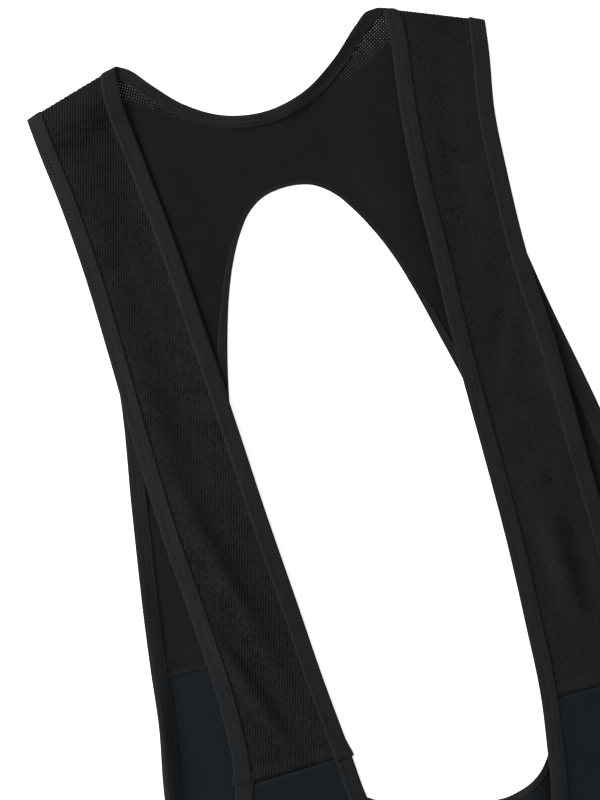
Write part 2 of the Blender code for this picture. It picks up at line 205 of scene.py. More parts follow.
# Body and legs, the same on both sides and in both layers: the centre seam or inseam, and the side seam
Body = namedtuple("Body", "inner_x inner_y side_x side_y")
BODY = (
    Body(0, -540, 170.5, -515),
    Body(0, -590, 173, -585),
    Body(0, -640, 180, -645),
    Body(1.5, -645, 180.6, -650),
    Body(8, -685, 184, -690),
    Body(13, -750, 188, -760),
    Body(20, -858, 192, -852),
)
FRONT_TOP = Body(*BIB[-1])
BACK_TOP = Body(*LEFT_LOWER_OPENING[-1], *LOWER_BACK_ARM[-1])
CROTCH_ROWS = 4  # down to the crotch, where the centre seams end
HEM_Y = BODY[-1].inner_y

# Soft ridges where the front layer stands off the back one
Ridge = namedtuple("Ridge", "x0 y0 x1 y1 width height")
RIDGES = (
    Ridge(-67, -30, -58, -300, 27, 1.8),
    Ridge(70, -34, 58, -240, 26, 1.8),
    Ridge(-104, -226, -76, -332, 15, 2.1),
    Ridge(-111, -300, -82, -374, 13, 1.8),
    Ridge(82, -262, 88, -356, 12, 1.7),
    Ridge(76, -196, 100, -120, 14, 0.6),
    Ridge(-10, -622, -96, -566, 15, 1.4),
    Ridge(12, -626, 88, -584, 13, 1.2),
    Ridge(-16, -668, -118, -640, 14, 1.0),
    Ridge(18, -672, 106, -664, 15, 1.2),
    Ridge(-52, -742, -160, -716, 13, 0.9),
    Ridge(46, -778, 150, -752, 14, 0.8),
    Ridge(-60, -512, -132, -486, 16, 0.8),
    Ridge(58, -530, 140, -508, 15, 0.7),
)
# Narrower troughs and ridges that the cloth shows from close by
CREASES = (
    Ridge(-113, -2, -103, -100, 28, 2.6),
    Ridge(-128, -24, -68, -8, 17, 2.0),
    Ridge(-106, -60, -103, -330, 16, 1.7),
    Ridge(108, -168, 116, -264, 12, 2.4),
    Ridge(-104, -218, -76, -344, 8, 2.0),
    Ridge(-113, -282, -78, -394, 8, 2.2),
    Ridge(-80, -340, -58, -384, 9, 0.9),
    Ridge(-110, -238, -84, -262, 8, 0.6),
    Ridge(-88, -60, -76, -140, 10, -0.5),
    Ridge(-112, -140, -96, -215, 9, 0.5),
    Ridge(-84, -176, -70, -232, 8, -0.4),
    Ridge(95, -300, 97, -356, 9, -1.1),
    Ridge(84, -280, 85, -356, 8, 1.0),
    Ridge(72, -300, 76, -352, 7, -0.5),
    Ridge(104, -262, 88, -306, 8, 0.6),
    Ridge(72, -228, 100, -160, 9, -0.5),
    Ridge(100, -70, 78, -128, 12, -0.5),
    Ridge(108, -168, 84, -214, 9, 0.5),
    Ridge(90, -30, 84, -92, 12, 0.5),
    Ridge(-2, -632, -82, -590, 7, -0.7),
    Ridge(4, -640, 84, -606, 7, -0.7),
    Ridge(-20, -700, -96, -684, 8, 0.6),
    Ridge(22, -704, 92, -698, 8, 0.5),
    Ridge(60, -388, 42, -462, 14, 1.6),
)
# The same in the back layer, inside the garment
BACK_CREASES = (
    Ridge(44, -40, 58, -176, 20, 1.8),
    Ridge(-70, -28, -62, -232, 26, 1.9),
    Ridge(-102, -212, -100, -420, 34, 2.2),
    Ridge(-140, -236, -134, -330, 9, 0.6),
    Ridge(-128, -330, -112, -420, 14, 0.8),
    Ridge(-30, -64, 34, -64, 12, 0.4),
    Ridge(50, -390, 27, -472, 12, 3.2),
    Ridge(-127, -205, -161, -440, 9, 2.0),
    Ridge(-138, -305, -164, -440, 8, 2.6),
    Ridge(2, -50, 82, 8, 9, 2.8),
    Ridge(-28, -42, 34, -40, 9, 1.3),
)
# Where both layers bulge beside a shoulder fold
Puff = namedtuple("Puff", "x y radius height")
PUFFS = (
    Puff(-76, -4, 46, 1.6),
    Puff(79, -13, 50, 2.0),
)

LAYER_ROOM = 1.0  # how far the front may sink towards the back from where they lie flat
LAYER_EASE = 0.05  # how softly it stops there
SHIFT_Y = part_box("back_left")[0].y / MM - HEM_Y  # from the shoulders' middle to the frame's origin

# A binding across its width: the share from its bound edge, and how far it stands from its middle
Profile = namedtuple("Profile", "share height")
BINDING_FACE = (
    Profile(0.012, 0.22),
    Profile(0.045, 0.36),
    Profile(0.10, 0.47),
    Profile(0.20, 0.56),
    Profile(0.32, 0.64),
    Profile(0.38, 0.58),
    Profile(0.44, 0.66),
    Profile(0.56, 0.74),
    Profile(0.68, 0.82),
    Profile(0.74, 0.77),
    Profile(0.80, 0.86),
    Profile(0.90, 0.90),
    Profile(0.97, 0.88),
    Profile(1.02, 0.42),
)
STITCH_ROWS = (0.38, 0.74)
FULL_WIDTH = 0.5  # share of the width from which a strip has its whole thickness
LEAST_RISE = 0.45  # thickness of the narrowest strip, as a share
BINDING_ROW = 1.25  # from one row of a binding's points to the next
FOLD_REACH = 30.0  # how near a fold a binding's rows belong to it
SQUARE_START = 11.0  # behind a fold, from where the rows turn to lie along it
SQUARE_RUN = 9.0
TURN_ROOM = 0.25  # from the last flat row to the start of the turn
TURN_ROWS = 13
# Width of the strip round the back's opening, down its two sides
Lip = namedtuple("Lip", "y left right")
LIPS = (
    Lip(-430, 3.6, 3.6),
    Lip(-345, 4.2, 4.0),
    Lip(-200, 5.2, 4.6),
    Lip(-172, 5.6, 4.2),
    Lip(-156, 5.2, 2.2),
    Lip(-124, 3.4, 2.0),
    Lip(-100, 2.4, 2.0),
    Lip(-83, 2.1, 2.1),
)
LIP_TUCK = 1.0  # cloth that reaches in under that strip

# The nets
CELL_CORNERS = ((0, 0), (1, 0), (1, 1), (0, 1))
CELL_SIDES = ((0, -1), (1, 0), (0, 1), (-1, 0))  # the way out of a cell, past the side from each corner
HALF_CELL = 0.4999  # a little less than half, so that a cell that only touches a trim is left out
PIT_FLOOR = 0.05  # above the middle of the net
SMALLEST_HOLE = 0.08  # of its cell, below which a cell has none
WIDEST_HOLE = 0.92
CROSSING_SHIFT = 0.11  # how far a crossing may lie off its place, as a share of the pitch
ON_TRIM = 0.01  # how near a trim a point of the outline is on it
TRIM_BAND = 1.5  # pitches beside a trim where crossings keep their places
YARN_EDGE = math.radians(75)  # from where an edge between two faces stays sharp

# Threads that show as bump: the way they follow one another, and in metres their spacing and height
Wave = namedtuple("Wave", "direction spacing height")
KNIT_WAVES = (Wave("X", 0.00062, 0.00005), Wave("Y", 0.00048, 0.00003))
BINDING_WAVES = (Wave("X", 0.00075, 0.00006), Wave("Y", 0.0005, 0.00003))
THREAD_FIBRE = 0.00003  # the height of the sewing thread's own fibre, in metres
WAVE_TURN = 20  # radians of a wave texture in a unit of its place, at a scale of 1
DYE_CLOUDS = 0.2  # how much a cloth's colour varies in wide clouds
DYE_GRAIN = 0.3  # the same from thread to thread

# Seams and sewing
SEAM_CLEARANCE = 0.05  # half the gap between two panels at their seam
SEAM_LAP = 1.4  # net that reaches over the knit at their seam
SEAM_ROLL = 0.5  # how far the net is lifted there
ROLL_START = 7.0  # above the seam, from where it rises
ROLL_RUN = 5.0
ROLL_END_RUN = 3.2  # over which its end comes down again
STRAP_END = -1.6  # where that end lies, as a share of the lift
YOKE_END = 0.7
SEAM_ALLOWANCE = 6.0  # cloth turned in under the yoke's seam
SEAM_FOLD = 0.3  # how much thicker the knit is there
SEAM_FOLD_START = 1.5  # below its top edge
SEAM_FOLD_RISE = 3.5
SEAM_FOLD_STEP = 1.0
HEM_WIDTH = 22.0
HEM_FOLD = 0.5
HEM_FOLD_STEP = 1.2
HEM_STITCHES = (16.5, 20.0)  # from the edge of the hem
HEM_STITCH = 1.3  # length of a stitch there, beside one in a binding
HEM_STITCH_MARGIN = 2.0  # from the leg's seams
HEM_STITCH_POINTS = 120
HEM_STITCH_SINK = 0.08  # how far it sinks into the cloth
GROOVE_DEPTH = 0.12  # along each row of stitches
GROOVE_WIDTH = 0.6
STITCH_SHOWING = 0.72  # share of a stitch that lies on the cloth
HOLE_RINGS = 2  # spans of a thread's rings that are its needle hole, in painted shade
ZIGZAG_DROP = 5.2  # the zigzag's middle below the yoke's seam
ZIGZAG_WIDTH = 2.6
ZIGZAG_STEP = 1.5
ZIGZAG_MARGIN = 0.5  # from the bindings at its ends

# Rows and columns of the knit's panels
PANEL_COLUMNS = 40
LEG_STEP = 1.5  # between rows, in points of the side seam
HEM_STEPS = 5.5  # the same points, for the part at the hem
HEM_ROWS = 30
ROW_BOW = 7.0  # how far the rows below the opening bow down
BOW_FADE = 6.0  # how far down the bow goes on, beside its own height
TOP_EDGE = 0.62  # thickness of a panel's top edge, as a share
TOP_EDGE_START = 0.15
TOP_EDGE_RUN = 0.9
EDGE_TURN = np.radians(np.linspace(0, 90, 7))  # round a seam's edge
EDGE_THICKNESS = np.array([1, 1, 1, 1, 0.97, 0.86, 0.55])
CENTRE_THICKNESS = np.linspace(0.5, 1, 7) ** 0.5

# A binding's soft unevenness: its size, its length over 2 pi, its phase, and how much it slants across
Swell = namedtuple("Swell", "size length phase slant")
SWELLS = (
    Swell(0.045, 5.3, 0.4, 2.0),
    Swell(0.035, 2.1, 1.9, -3.0),
    Swell(0.04, 11.7, 3.0, 6.0),
    Swell(0.03, 3.4, 5.1, 9.0),
)
NECK_LAP = 1  # points by which a binding's first end passes its seam, over its last end
ARM_LAP = -1
LAP_UNDER = 3  # points that the last end reaches in under it
LAP_RUN = 11.0  # over which the first end is raised and flared
LAP_LIFT = 0.2
LAP_FLARE = 1.3
FOOT_RUN = 2  # laps over which the last end grows wider
FOOT_WIDTH = 1.3
# How a net lies: the turn of its threads, its pitch beside the cloth's, and its pits' length and width
Lay = namedtuple("Lay", "grain pitch long wide")
STRAP_LAY = {
    "left": Lay(math.radians(-16), 1.07, 1.1, 2.0),
    "right": Lay(math.radians(29), 0.98, 1.0, 1.7),
}
YOKE_LAY = {
    "left": Lay(math.radians(-30), 1.06, 1.0, 1.0),
    "right": Lay(math.radians(28), 0.98, 1.0, 1.0),
}
# A strap's pits: how unlike they are, and how much wider they grow towards the shoulder
# wider pits towards the left shoulder darken the strap there with their painted shade
PIT_CHANCE = 0.25
SHOULDER_PIT_SHADE = {"left": 0.26, "right": 0.0}
SHOULDER_PIT_SHADE_Y = -95  # from where they grow
SHOULDER_PIT_SHADE_RUN = 70
# Soft uneven patches: how wide they are, the seed of their places, and how much they add to a share
Patch = namedtuple("Patch", "size seed weight")
STRAP_LEAST = 0.82
STRAP_PATCHES = (Patch(22, 3, 0.2), Patch(6, 8, 0.12))
CORNER_LEAST = 0.75
CORNER_PATCHES = (Patch(7, 5, 0.35),)
PATCH_WAVES = 7  # crossing waves that make the patches
PATCH_LENGTHS = (0.6, 1.7)  # of those waves, beside the patches' size
# Where the yoke's net is pulled open, along the neckline from each shoulder
OpenCorner = namedtuple("OpenCorner", "x0 y0 x1 y1 depth end_depth hole")
OPEN_CORNERS = {
    "left": OpenCorner(-74, -4, -38, -37, 12, 3, 0.165),
    "right": OpenCorner(74, -10, 36, -41, 17, 3, 0.175),
}
CORNER_FADE = 0.45  # how much smaller the holes are at the far end
CORNER_EDGE = 1.15  # depths from the neckline where they end
CORNER_EDGE_SLOPE = 1.3
CORNER_END_SLOPE = 4

# The stage
FLOOR_SIZE = 6  # metres
FLOOR_WHITE = 0.92
FLOOR_GLOW = 0.5
VIEW_MIDDLE = Edge(-26.15, 230.31)
FLAT_CLOTH = 0.003  # metres, the level that the view's height is measured at
SENSOR = 36
Light = namedtuple("Light", "left up height size")
KEY_LIGHT = Light(2.7, 1.1, 1.5, 1.5)  # metres from the middle of the view, as the view shows it


# ---------------------------------------------------------------- curves


def sampled(points, closed=False, after=None):
    """Points along one smooth curve through the given ones. It ends as if it went on to the one after."""
    points = np.array(points, float)
    if closed:
        knots = np.vstack([points[-1:], points, points[:2]])
    else:
        after = 2 * points[-1] - points[-2] if after is None else after
        knots = np.vstack([2 * points[0] - points[1], points, after])
    chords = np.linalg.norm(np.diff(knots, axis=0), axis=1)[:, None]
    slopes = np.diff(knots, axis=0) / chords
    tangents = (chords[:-1] * slopes[1:] + chords[1:] * slopes[:-1]) / (chords[:-1] + chords[1:])
    t = (np.arange(SPAN_STEPS) / SPAN_STEPS)[:, None]
    found = []
    for i in range(len(points) - (0 if closed else 1)):
        start, end, chord = knots[i + 1], knots[i + 2], chords[i + 1]
        found.append(
            (2 * t**3 - 3 * t**2 + 1) * start
            + (t**3 - 2 * t**2 + t) * chord * tangents[i]
            + (3 * t**2 - 2 * t**3) * end
            + (t**3 - t**2) * chord * tangents[i + 1]
        )
    return np.vstack(found if closed else found + [points[-1:]])


def unit(vectors):
    """The vectors, each at a length of one."""
    return vectors / np.linalg.norm(vectors, axis=-1, keepdims=True)


def square_to(run):
    """The unit direction square to a run, on its upper side."""
    square = unit(np.array([-run[1], run[0]]))
    return square if square[1] > 0 else -square


def lengths_of(line):
    """How far along a line each of its points lies."""
    return np.concatenate([[0], np.cumsum(np.linalg.norm(np.diff(line, axis=0), axis=1))])


def read_at(line, places, at):
    """What a line's points hold at other places along it."""
    return np.column_stack([np.interp(at, places, column) for column in line.T])


def evened(line, step):
    """The line with its points at even steps."""
    lengths = lengths_of(line)
    return read_at(line, lengths, np.linspace(0, lengths[-1], max(2, round(lengths[-1] / step) + 1)))


def sideways(line, closed=False):
    """Unit directions to the left of a line at each of its points."""
    if closed:
        along = np.roll(line, -1, axis=0) - np.roll(line, 1, axis=0)
    else:
        along = np.gradient(line, axis=0)
    along = unit(along)
    return np.column_stack([-along[:, 1], along[:, 0]])


def mirrored(rows):
    """Table rows with every x turned to the other side."""
    kind = type(rows[0])
    signs = [-1 if name.endswith("x") else 1 for name in kind._fields]
    return [kind(*(sign * value for sign, value in zip(signs, row))) for row in rows]


def smooth(share):
    """A share from 0 to 1, eased at both ends."""
    share = np.clip(share, 0, 1)
    return share * share * (3 - 2 * share)


def inside(points, outline):
    """Whether each point lies inside a closed outline."""
    x, y = points[:, 0], points[:, 1]
    found = np.zeros(len(points), bool)
    for (x0, y0), (x1, y1) in zip(outline, np.roll(outline, -1, axis=0)):
        if y0 != y1:
            crosses = (y0 > y) != (y1 > y)
            found ^= crosses & (x < (x1 - x0) * (y - y0) / (y1 - y0) + x0)
    return found


# ---------------------------------------------------------------- how the cloth lies


Fold = namedtuple("Fold", "corner along out")  # along goes into the cloth from the bound edge


def shoulder_folds(strap):
    """The shoulder fold seen from the neck edge and from the armhole edge."""
    neck = np.array([strap[0].neck_x, strap[0].neck_y], float)
    arm = np.array([strap[0].arm_x, strap[0].arm_y], float)
    along = unit(arm - neck)
    out = square_to(along)
    return Fold(neck, along, out), Fold(arm, -along, out)


class Side:
    """The outlines of one half of the garment."""

    def __init__(self, sign, strap, back_arm):
        self.sign = sign
        self.name = "left" if sign < 0 else "right"
        same = mirrored if sign < 0 else list
        front = [*strap, *same(BIB)]
        back = [*back_arm, *same(LOWER_BACK_ARM)]
        self.seam = (len(strap) - 1) * SPAN_STEPS
        self.back_seam = (len(back_arm) - 1) * SPAN_STEPS
        last, previous = front[-1], front[-2]
        past_centre = (-previous.neck_x, previous.neck_y)
        past_side = (2 * last.arm_x - previous.arm_x, previous.arm_y)
        self.front_neck = sampled([(row.neck_x, row.neck_y) for row in front], after=past_centre)
        self.front_arm = sampled([(row.arm_x, row.arm_y) for row in front], after=past_side)
        self.back_arm = sampled(back, after=(2 * back[-1].x - back[-2].x, back[-2].y))
        self.neck_fold, self.arm_fold = shoulder_folds(strap)
        self.side_fold = Fold(self.front_arm[-1], np.array([0.0, -1.0]), np.array([float(sign), 0.0]))

    def within(self, line, distance, edge):
        """A downward outline moved into its cloth, which lies outside the neck and inside the arm edge."""
        return line + sideways(line) * distance * (self.sign if edge == "neck" else -self.sign)


def raised(plan, ridge):
    """How high a ridge stands at each point."""
    run = np.array([ridge.x1 - ridge.x0, ridge.y1 - ridge.y0], float)
    length = np.linalg.norm(run)
    run /= length
    offset = plan - (ridge.x0, ridge.y0)
    along = offset @ run / length
    aside = np.abs(offset[..., 0] * run[1] - offset[..., 1] * run[0]) / ridge.width
    on = (along > 0) & (along < 1) & (aside < 1)
    return np.where(on, ridge.height * np.sin(along * np.pi) * np.cos(aside * np.pi / 2) ** 2, 0)


def lift(plan, angle):
    """How far the cloth stands above where it would lie flat. The front never sinks into the back."""
    puffed = np.zeros(plan.shape[:-1])
    for puff in PUFFS:
        reach = np.linalg.norm(plan - (puff.x, puff.y), axis=-1) / puff.radius
        puffed += np.where(reach < 1, puff.height * np.cos(np.minimum(reach, 1) * np.pi / 2) ** 2, 0)
    back = puffed + sum(raised(plan, ridge) for ridge in BACK_CREASES)
    if angle != FRONT:
        return back
    front = puffed + sum(raised(plan, ridge) for ridge in RIDGES + CREASES)
    short = back - LAYER_ROOM - front
    return front + (short + np.sqrt(short**2 + LAYER_EASE)) / 2


def patches(plan, size, seed):
    """Soft uneven patches of about this size, as a share from 0 to 1."""
    chance = np.random.default_rng(seed)
    total = np.zeros(len(plan))
    for k in range(PATCH_WAVES):
        heading = (k + chance.uniform(0, 1)) * np.pi / PATCH_WAVES
        length = size * chance.uniform(*PATCH_LENGTHS)
        wave = plan @ np.array([math.cos(heading), math.sin(heading)]) * 2 * np.pi / length
        total += np.sin(wave + chance.uniform(0, 2 * np.pi))
    return smooth(0.5 + total / PATCH_WAVES)


def patchy(plan, least, kinds):
    """A share for each point, from the least one up by uneven patches of several kinds."""
    return sum((kind.weight * patches(plan, kind.size, kind.seed) for kind in kinds), least)


def lip_width(plan):
    """How wide the strip round the back's opening is at each point of its edge."""
    level = [lip.y for lip in LIPS]
    left = np.interp(plan[..., 1], level, [lip.left for lip in LIPS])
    right = np.interp(plan[..., 1], level, [lip.right for lip in LIPS])
    return np.where(plan[..., 0] < 0, left, right)


def laid(plan, wall, angle):
    """Middle points and outward normals of cloth that lies flat in a layer."""
    plan = np.asarray(plan, float)
    height = wall / 2 + TURN_RADIUS + TURN_RADIUS * math.cos(angle) + lift(plan, angle)
    normals = np.zeros(plan.shape[:-1] + (3,))
    normals[..., 2] = math.cos(angle)
    return np.concatenate([plan, height[..., None]], axis=-1), normals


def wrapped(plan, fold, wall):
    """The same for front cloth that carries on over a fold and down the back, in an unrolled plan."""
    beyond = (plan - fold.corner) @ fold.out + TURN_INSET
    root = plan - np.outer(np.maximum(beyond, 0), fold.out)
    angle = np.clip(beyond / TURN_RADIUS, 0, np.pi)
    after = np.maximum(beyond - np.pi * TURN_RADIUS, 0)
    spot = root + np.outer(TURN_RADIUS * np.sin(angle) - after, fold.out)
    height = wall / 2 + TURN_RADIUS + TURN_RADIUS * np.cos(angle) + lift(root, FRONT)
    normals = np.column_stack([np.outer(np.sin(angle), fold.out), np.cos(angle)])
    return np.column_stack([spot, height]), normals


def rolled(points, level, rest):
    """A net's end lifted over the knit at their seam, and rolled down to a share of that height."""
    short = points[..., 1] - level
    share = rest + (1 - rest) * smooth((short + SEAM_LAP) / ROLL_END_RUN)
    points[..., 2] += SEAM_ROLL * smooth((ROLL_START - short) / ROLL_RUN) * share
    return points


# ---------------------------------------------------------------- meshes


def mesh_object(name, points, faces):
    """A named smooth object from points in the garment's millimetres."""
    points = np.asarray(points, float) + (0, SHIFT_Y, 0)
    data = bpy.data.meshes.new(name)
    data.from_pydata((points * MM).tolist(), [], faces.tolist())
    data.validate()
    data.shade_smooth()
    piece = bpy.data.objects.new(name, data)
    bpy.context.scene.collection.objects.link(piece)
    return piece


def grid_faces(rows, columns, base=0, closed_rows=False, closed_columns=False, flip=False):
    """Four-sided faces between the points of a grid that is stored row by row."""
    i = np.arange(rows if closed_rows else rows - 1)
    j = np.arange(columns if closed_columns else columns - 1)
    i, j = np.meshgrid(i, j, indexing="ij")
    after, beside = (i + 1) % rows, (j + 1) % columns
    corners = [i * columns + j, i * columns + beside, after * columns + beside, after * columns + j]
    faces = np.stack(corners, axis=-1).reshape(-1, 4) + base
    return faces[:, ::-1] if flip else faces


def pattern_map(piece, across, along):
    """A UV map in metres, from each point's place across and along its cloth."""
    uv = piece.data.uv_layers.new(name="cloth")
    corners = np.zeros(len(piece.data.loops), np.int32)
    piece.data.loops.foreach_get("vertex_index", corners)
    places = np.column_stack([across, along])[corners] * MM
    uv.data.foreach_set("uv", places.ravel().astype(np.float32))


def shell(name, points, normals, thickness):
    """A closed thin wall round a grid of middle points."""
    rows, columns = points.shape[:2]
    top = points + normals * thickness / 2
    under = points - normals * thickness / 2
    count = rows * columns
    faces = [grid_faces(rows, columns), grid_faces(rows, columns, count, flip=True)]
    index = np.arange(count).reshape(rows, columns)
    for edge in (index[0], index[:, -1], index[-1][::-1], index[:, 0][::-1]):
        start, end = edge[:-1], edge[1:]
        faces.append(np.column_stack([end, start, start + count, end + count]))
    faces = np.vstack(faces)
    piece = mesh_object(name, np.vstack([top.reshape(-1, 3), under.reshape(-1, 3)]), faces)
    face_out(piece)
    return piece


def face_out(piece):
    """Turns a closed mesh's faces to point outwards."""
    data = piece.data
    data.calc_loop_triangles()
    points = np.zeros(len(data.vertices) * 3, np.float32)
    corners = np.zeros(len(data.loop_triangles) * 3, np.int32)
    data.vertices.foreach_get("co", points)
    data.loop_triangles.foreach_get("vertices", corners)
    a, b, c = points.reshape(-1, 3)[corners.reshape(-1, 3)].transpose(1, 0, 2).astype(float)
    if np.einsum("ij,ij->", a, np.cross(b, c)) < 0:
        data.flip_normals()


def net_cells(outline, pitch, turn, trims):
    """A net's square cells inside an outline.

    It gives the cells' middles, the crossings, the crossing at each corner of a cell, and whether the side
    from that corner is on the net's outside.
    """
    outline = past_trims(outline, trims, pitch)
    low = (outline @ turn.T).min(axis=0)
    count = np.ceil(((outline @ turn.T).max(axis=0) - low) / pitch).astype(int) + 1
    i, j = (part.ravel() for part in np.meshgrid(np.arange(count[0]), np.arange(count[1]), indexing="ij"))
    middles = (np.column_stack([i + 0.5, j + 0.5]) * pitch + low) @ turn
    kept = inside(middles, outline)
    for point, beyond in trims:
        kept &= (middles - point) @ beyond < HALF_CELL * pitch * np.abs(turn @ beyond).sum()
    i, j, middles = i[kept], j[kept], middles[kept]
    lattice = np.full((count[0] + 1, count[1] + 1), -1)
    for di, dj in CELL_CORNERS:
        lattice[i + di, j + dj] = 0
    cross_i, cross_j = np.nonzero(lattice == 0)
    crossing_count = len(cross_i)
    lattice[cross_i, cross_j] = np.arange(crossing_count)
    chance = np.random.default_rng(crossing_count)
    uneven = chance.uniform(-CROSSING_SHIFT, CROSSING_SHIFT, (crossing_count, 2))
    places = (np.column_stack([cross_i, cross_j]) * pitch + low) @ turn
    for point, beyond in trims:
        uneven[np.abs((places - point) @ beyond) < TRIM_BAND * pitch] = 0
    crossings = places + uneven * pitch @ turn
    corners = [lattice[i + di, j + dj] for di, dj in CELL_CORNERS]
    taken = np.zeros((count[0] + 2, count[1] + 2), bool)
    taken[i + 1, j + 1] = True
    outer = [~taken[i + 1 + di, j + 1 + dj] for di, dj in CELL_SIDES]
    return middles, crossings, corners, outer


def net_faces(corners, outer, holed, through, crossing_count):
    """A net's four-sided faces, and whether each takes the piece's second material, its painted shade.

    The points are the crossings on the upper face, those on the lower face and the four rims of the holes.
    """
    faces, shades = [], []

    def add(points, shade=0):
        """Adds one face for each row of its four corners."""
        faces.append(np.column_stack(points))
        shades.append(np.zeros(len(faces[-1]), np.int32) + shade)

    open_hole = through[holed]
    holes = np.arange(len(open_hole))
    rims = [2 * crossing_count + k * len(holes) + holes for k in range(4)]
    for k in range(4):
        after = (k + 1) % 4
        a, b = corners[k][holed], corners[after][holed]
        # the yarn round an open hole takes the second material, painted shade
        add([a, b, rims[after], rims[k]], open_hole)
        under = [b + crossing_count, a + crossing_count, rims[k], rims[after]]
        add([part[open_hole] for part in under])
        a, b = corners[k][outer[k]], corners[after][outer[k]]
        add([b, a, a + crossing_count, b + crossing_count])
    # pit floors take the second material, painted shade
    add([rim[~open_hole] for rim in rims], 1)
    add([corner[~holed] for corner in corners])
    backed = ~(holed & through)
    add([corner[backed] + crossing_count for corner in corners[::-1]])
    return np.vstack(faces), np.concatenate(shades)


def net(name, outline, lay, cells, place, cloth, trims):
    """A net of square cells inside an outline, with yarns that are thickest where they cross.

    cells gives each cell's hole as a share of the cell, and says whether it goes right through or is a pit.
    The floors of pits, and the yarn pulled open round the holes, take the piece's second material, a darker
    copy of its colour that is painted shade. place carries the plan into the frame. Trims are straight
    cuts, each a point and the direction cut away.
    """
    pitch = cloth.net_pitch * lay.pitch / MM
    cosine, sine = math.cos(lay.grain), math.sin(lay.grain)
    turn = np.array([[cosine, sine], [-sine, cosine]])
    middles, crossings, corners, outer = net_cells(outline, pitch, turn, trims)
    hole, through = cells(middles)
    hole = np.minimum(hole, WIDEST_HOLE / max(lay.long, lay.wide))
    holed = hole > SMALLEST_HOLE
    shrink = turn.T @ np.diag([lay.long, lay.wide]) @ turn
    rims = [
        middles[holed] + (crossings[corner[holed]] - middles[holed]) @ shrink * hole[holed, None]
        for corner in corners
    ]
    plan = np.vstack([crossings] + rims)
    for point, beyond in trims:
        plan = plan - np.outer(np.maximum((plan - point) @ beyond, 0), beyond)
    points, normals = place(plan)
    count = len(crossings)
    yarn = normals[:count] * cloth.net_thickness / MM / 2
    level = np.tile(np.where(through[holed], 0, PIT_FLOOR), 4)[:, None] * normals[count:]
    solid = [points[:count] + yarn, points[:count] - yarn, points[count:] + level]
    faces, shades = net_faces(corners, outer, holed, through, count)
    piece = mesh_object(name, np.vstack(solid), faces)
    face_out(piece)
    piece.data.set_sharp_from_angle(angle=YARN_EDGE)
    piece.data.polygons.foreach_set("material_index", shades)
    pattern_map(piece, *np.vstack([plan[:count]] * 2 + [plan[count:]]).T)
    return piece


# ---------------------------------------------------------------- bindings


def strip_rows(line, towards, angle, shares, folds=(), width=BINDING_WIDTH, lapped=""):
    """Rows of a binding that lies flat: its middle at each share of its width, with normals.

    Close to a fold the rows turn to lie along it. A lapped strip starts raised and flared, over the other
    end, and the other end is wider.
    """
    edge = line
    inward = sideways(line) * towards
    wide = np.full(len(line), width)
    raised_by = np.zeros(len(line))
    gone = lengths_of(line)
    if lapped == "over":
        near = smooth(1 - gone / LAP_RUN)
        edge = edge - inward * LAP_FLARE * near[:, None]
        wide = wide + LAP_FLARE * near
        raised_by = LAP_LIFT * near
    if lapped == "under":
        wide = wide + FOOT_WIDTH * smooth(1 - (gone[-1] - gone) / LAP_RUN / FOOT_RUN)
    for fold in folds:
        near = np.linalg.norm(edge - fold.corner, axis=1) < FOLD_REACH
        behind = (fold.corner - edge) @ fold.out
        kept = (behind > TURN_INSET + TURN_ROOM) | ~near
        edge, inward, wide, behind, near, raised_by = (
            part[kept] for part in (edge, inward, wide, behind, near, raised_by)
        )
        square = np.where(near, smooth((SQUARE_START - behind) / SQUARE_RUN), 0)
        inward = unit((1 - square)[:, None] * inward + square[:, None] * fold.along)
        wide = wide + square * (BINDING_WIDTH - wide)
    reach = wide[:, None] * np.array(shares)[None, :]
    points, normals = laid(edge[:, None, :] + inward[:, None, :] * reach[..., None], BINDING_WALL, angle)
    points[..., 2] += raised_by[:, None]
    return points, normals


def shear(line, fold):
    """How far along a fold an outline meets the start of its turn."""
    near = line[np.linalg.norm(line - fold.corner, axis=1) < FOLD_REACH]
    behind = (fold.corner - near) @ fold.out
    order = np.argsort(behind)
    return float(np.interp(TURN_INSET, behind[order], ((near - fold.corner) @ fold.along)[order]))


def turn_rows(fold, shares, front_line, back_line, downward):
    """Rows of a binding round a fold, from the front layer to the back one or the other way."""
    ahead, behind = shear(front_line, fold), shear(back_line, fold)
    angles = np.linspace(0, np.pi, TURN_ROWS)[:: 1 if downward else -1]
    points, normals = [], []
    for a in angles:
        slid = ahead + (behind - ahead) * a / np.pi
        start = fold.corner + np.outer(np.array(shares) * BINDING_WIDTH + slid, fold.along)
        spot = start + (TURN_RADIUS * math.sin(a) - TURN_INSET) * fold.out
        height = BINDING_WALL / 2 + TURN_RADIUS + TURN_RADIUS * math.cos(a) + lift(spot, BACK)
        points.append(np.column_stack([spot, height]))
        normals.append([(*(math.sin(a) * fold.out), math.cos(a))] * len(start))
    return np.array(points), np.array(normals)


def joined_rows(*parts):
    """One strip's points and normals from those of its parts."""
    points, normals = zip(*parts)
    return np.concatenate(points), np.concatenate(normals)


def binding_section():
    """The closed outline across a binding: the outer face and the same face inside."""
    inner_face = [Profile(point.share, -point.height) for point in BINDING_FACE[::-1]]
    return [Profile(0, 0), *BINDING_FACE, *inner_face]


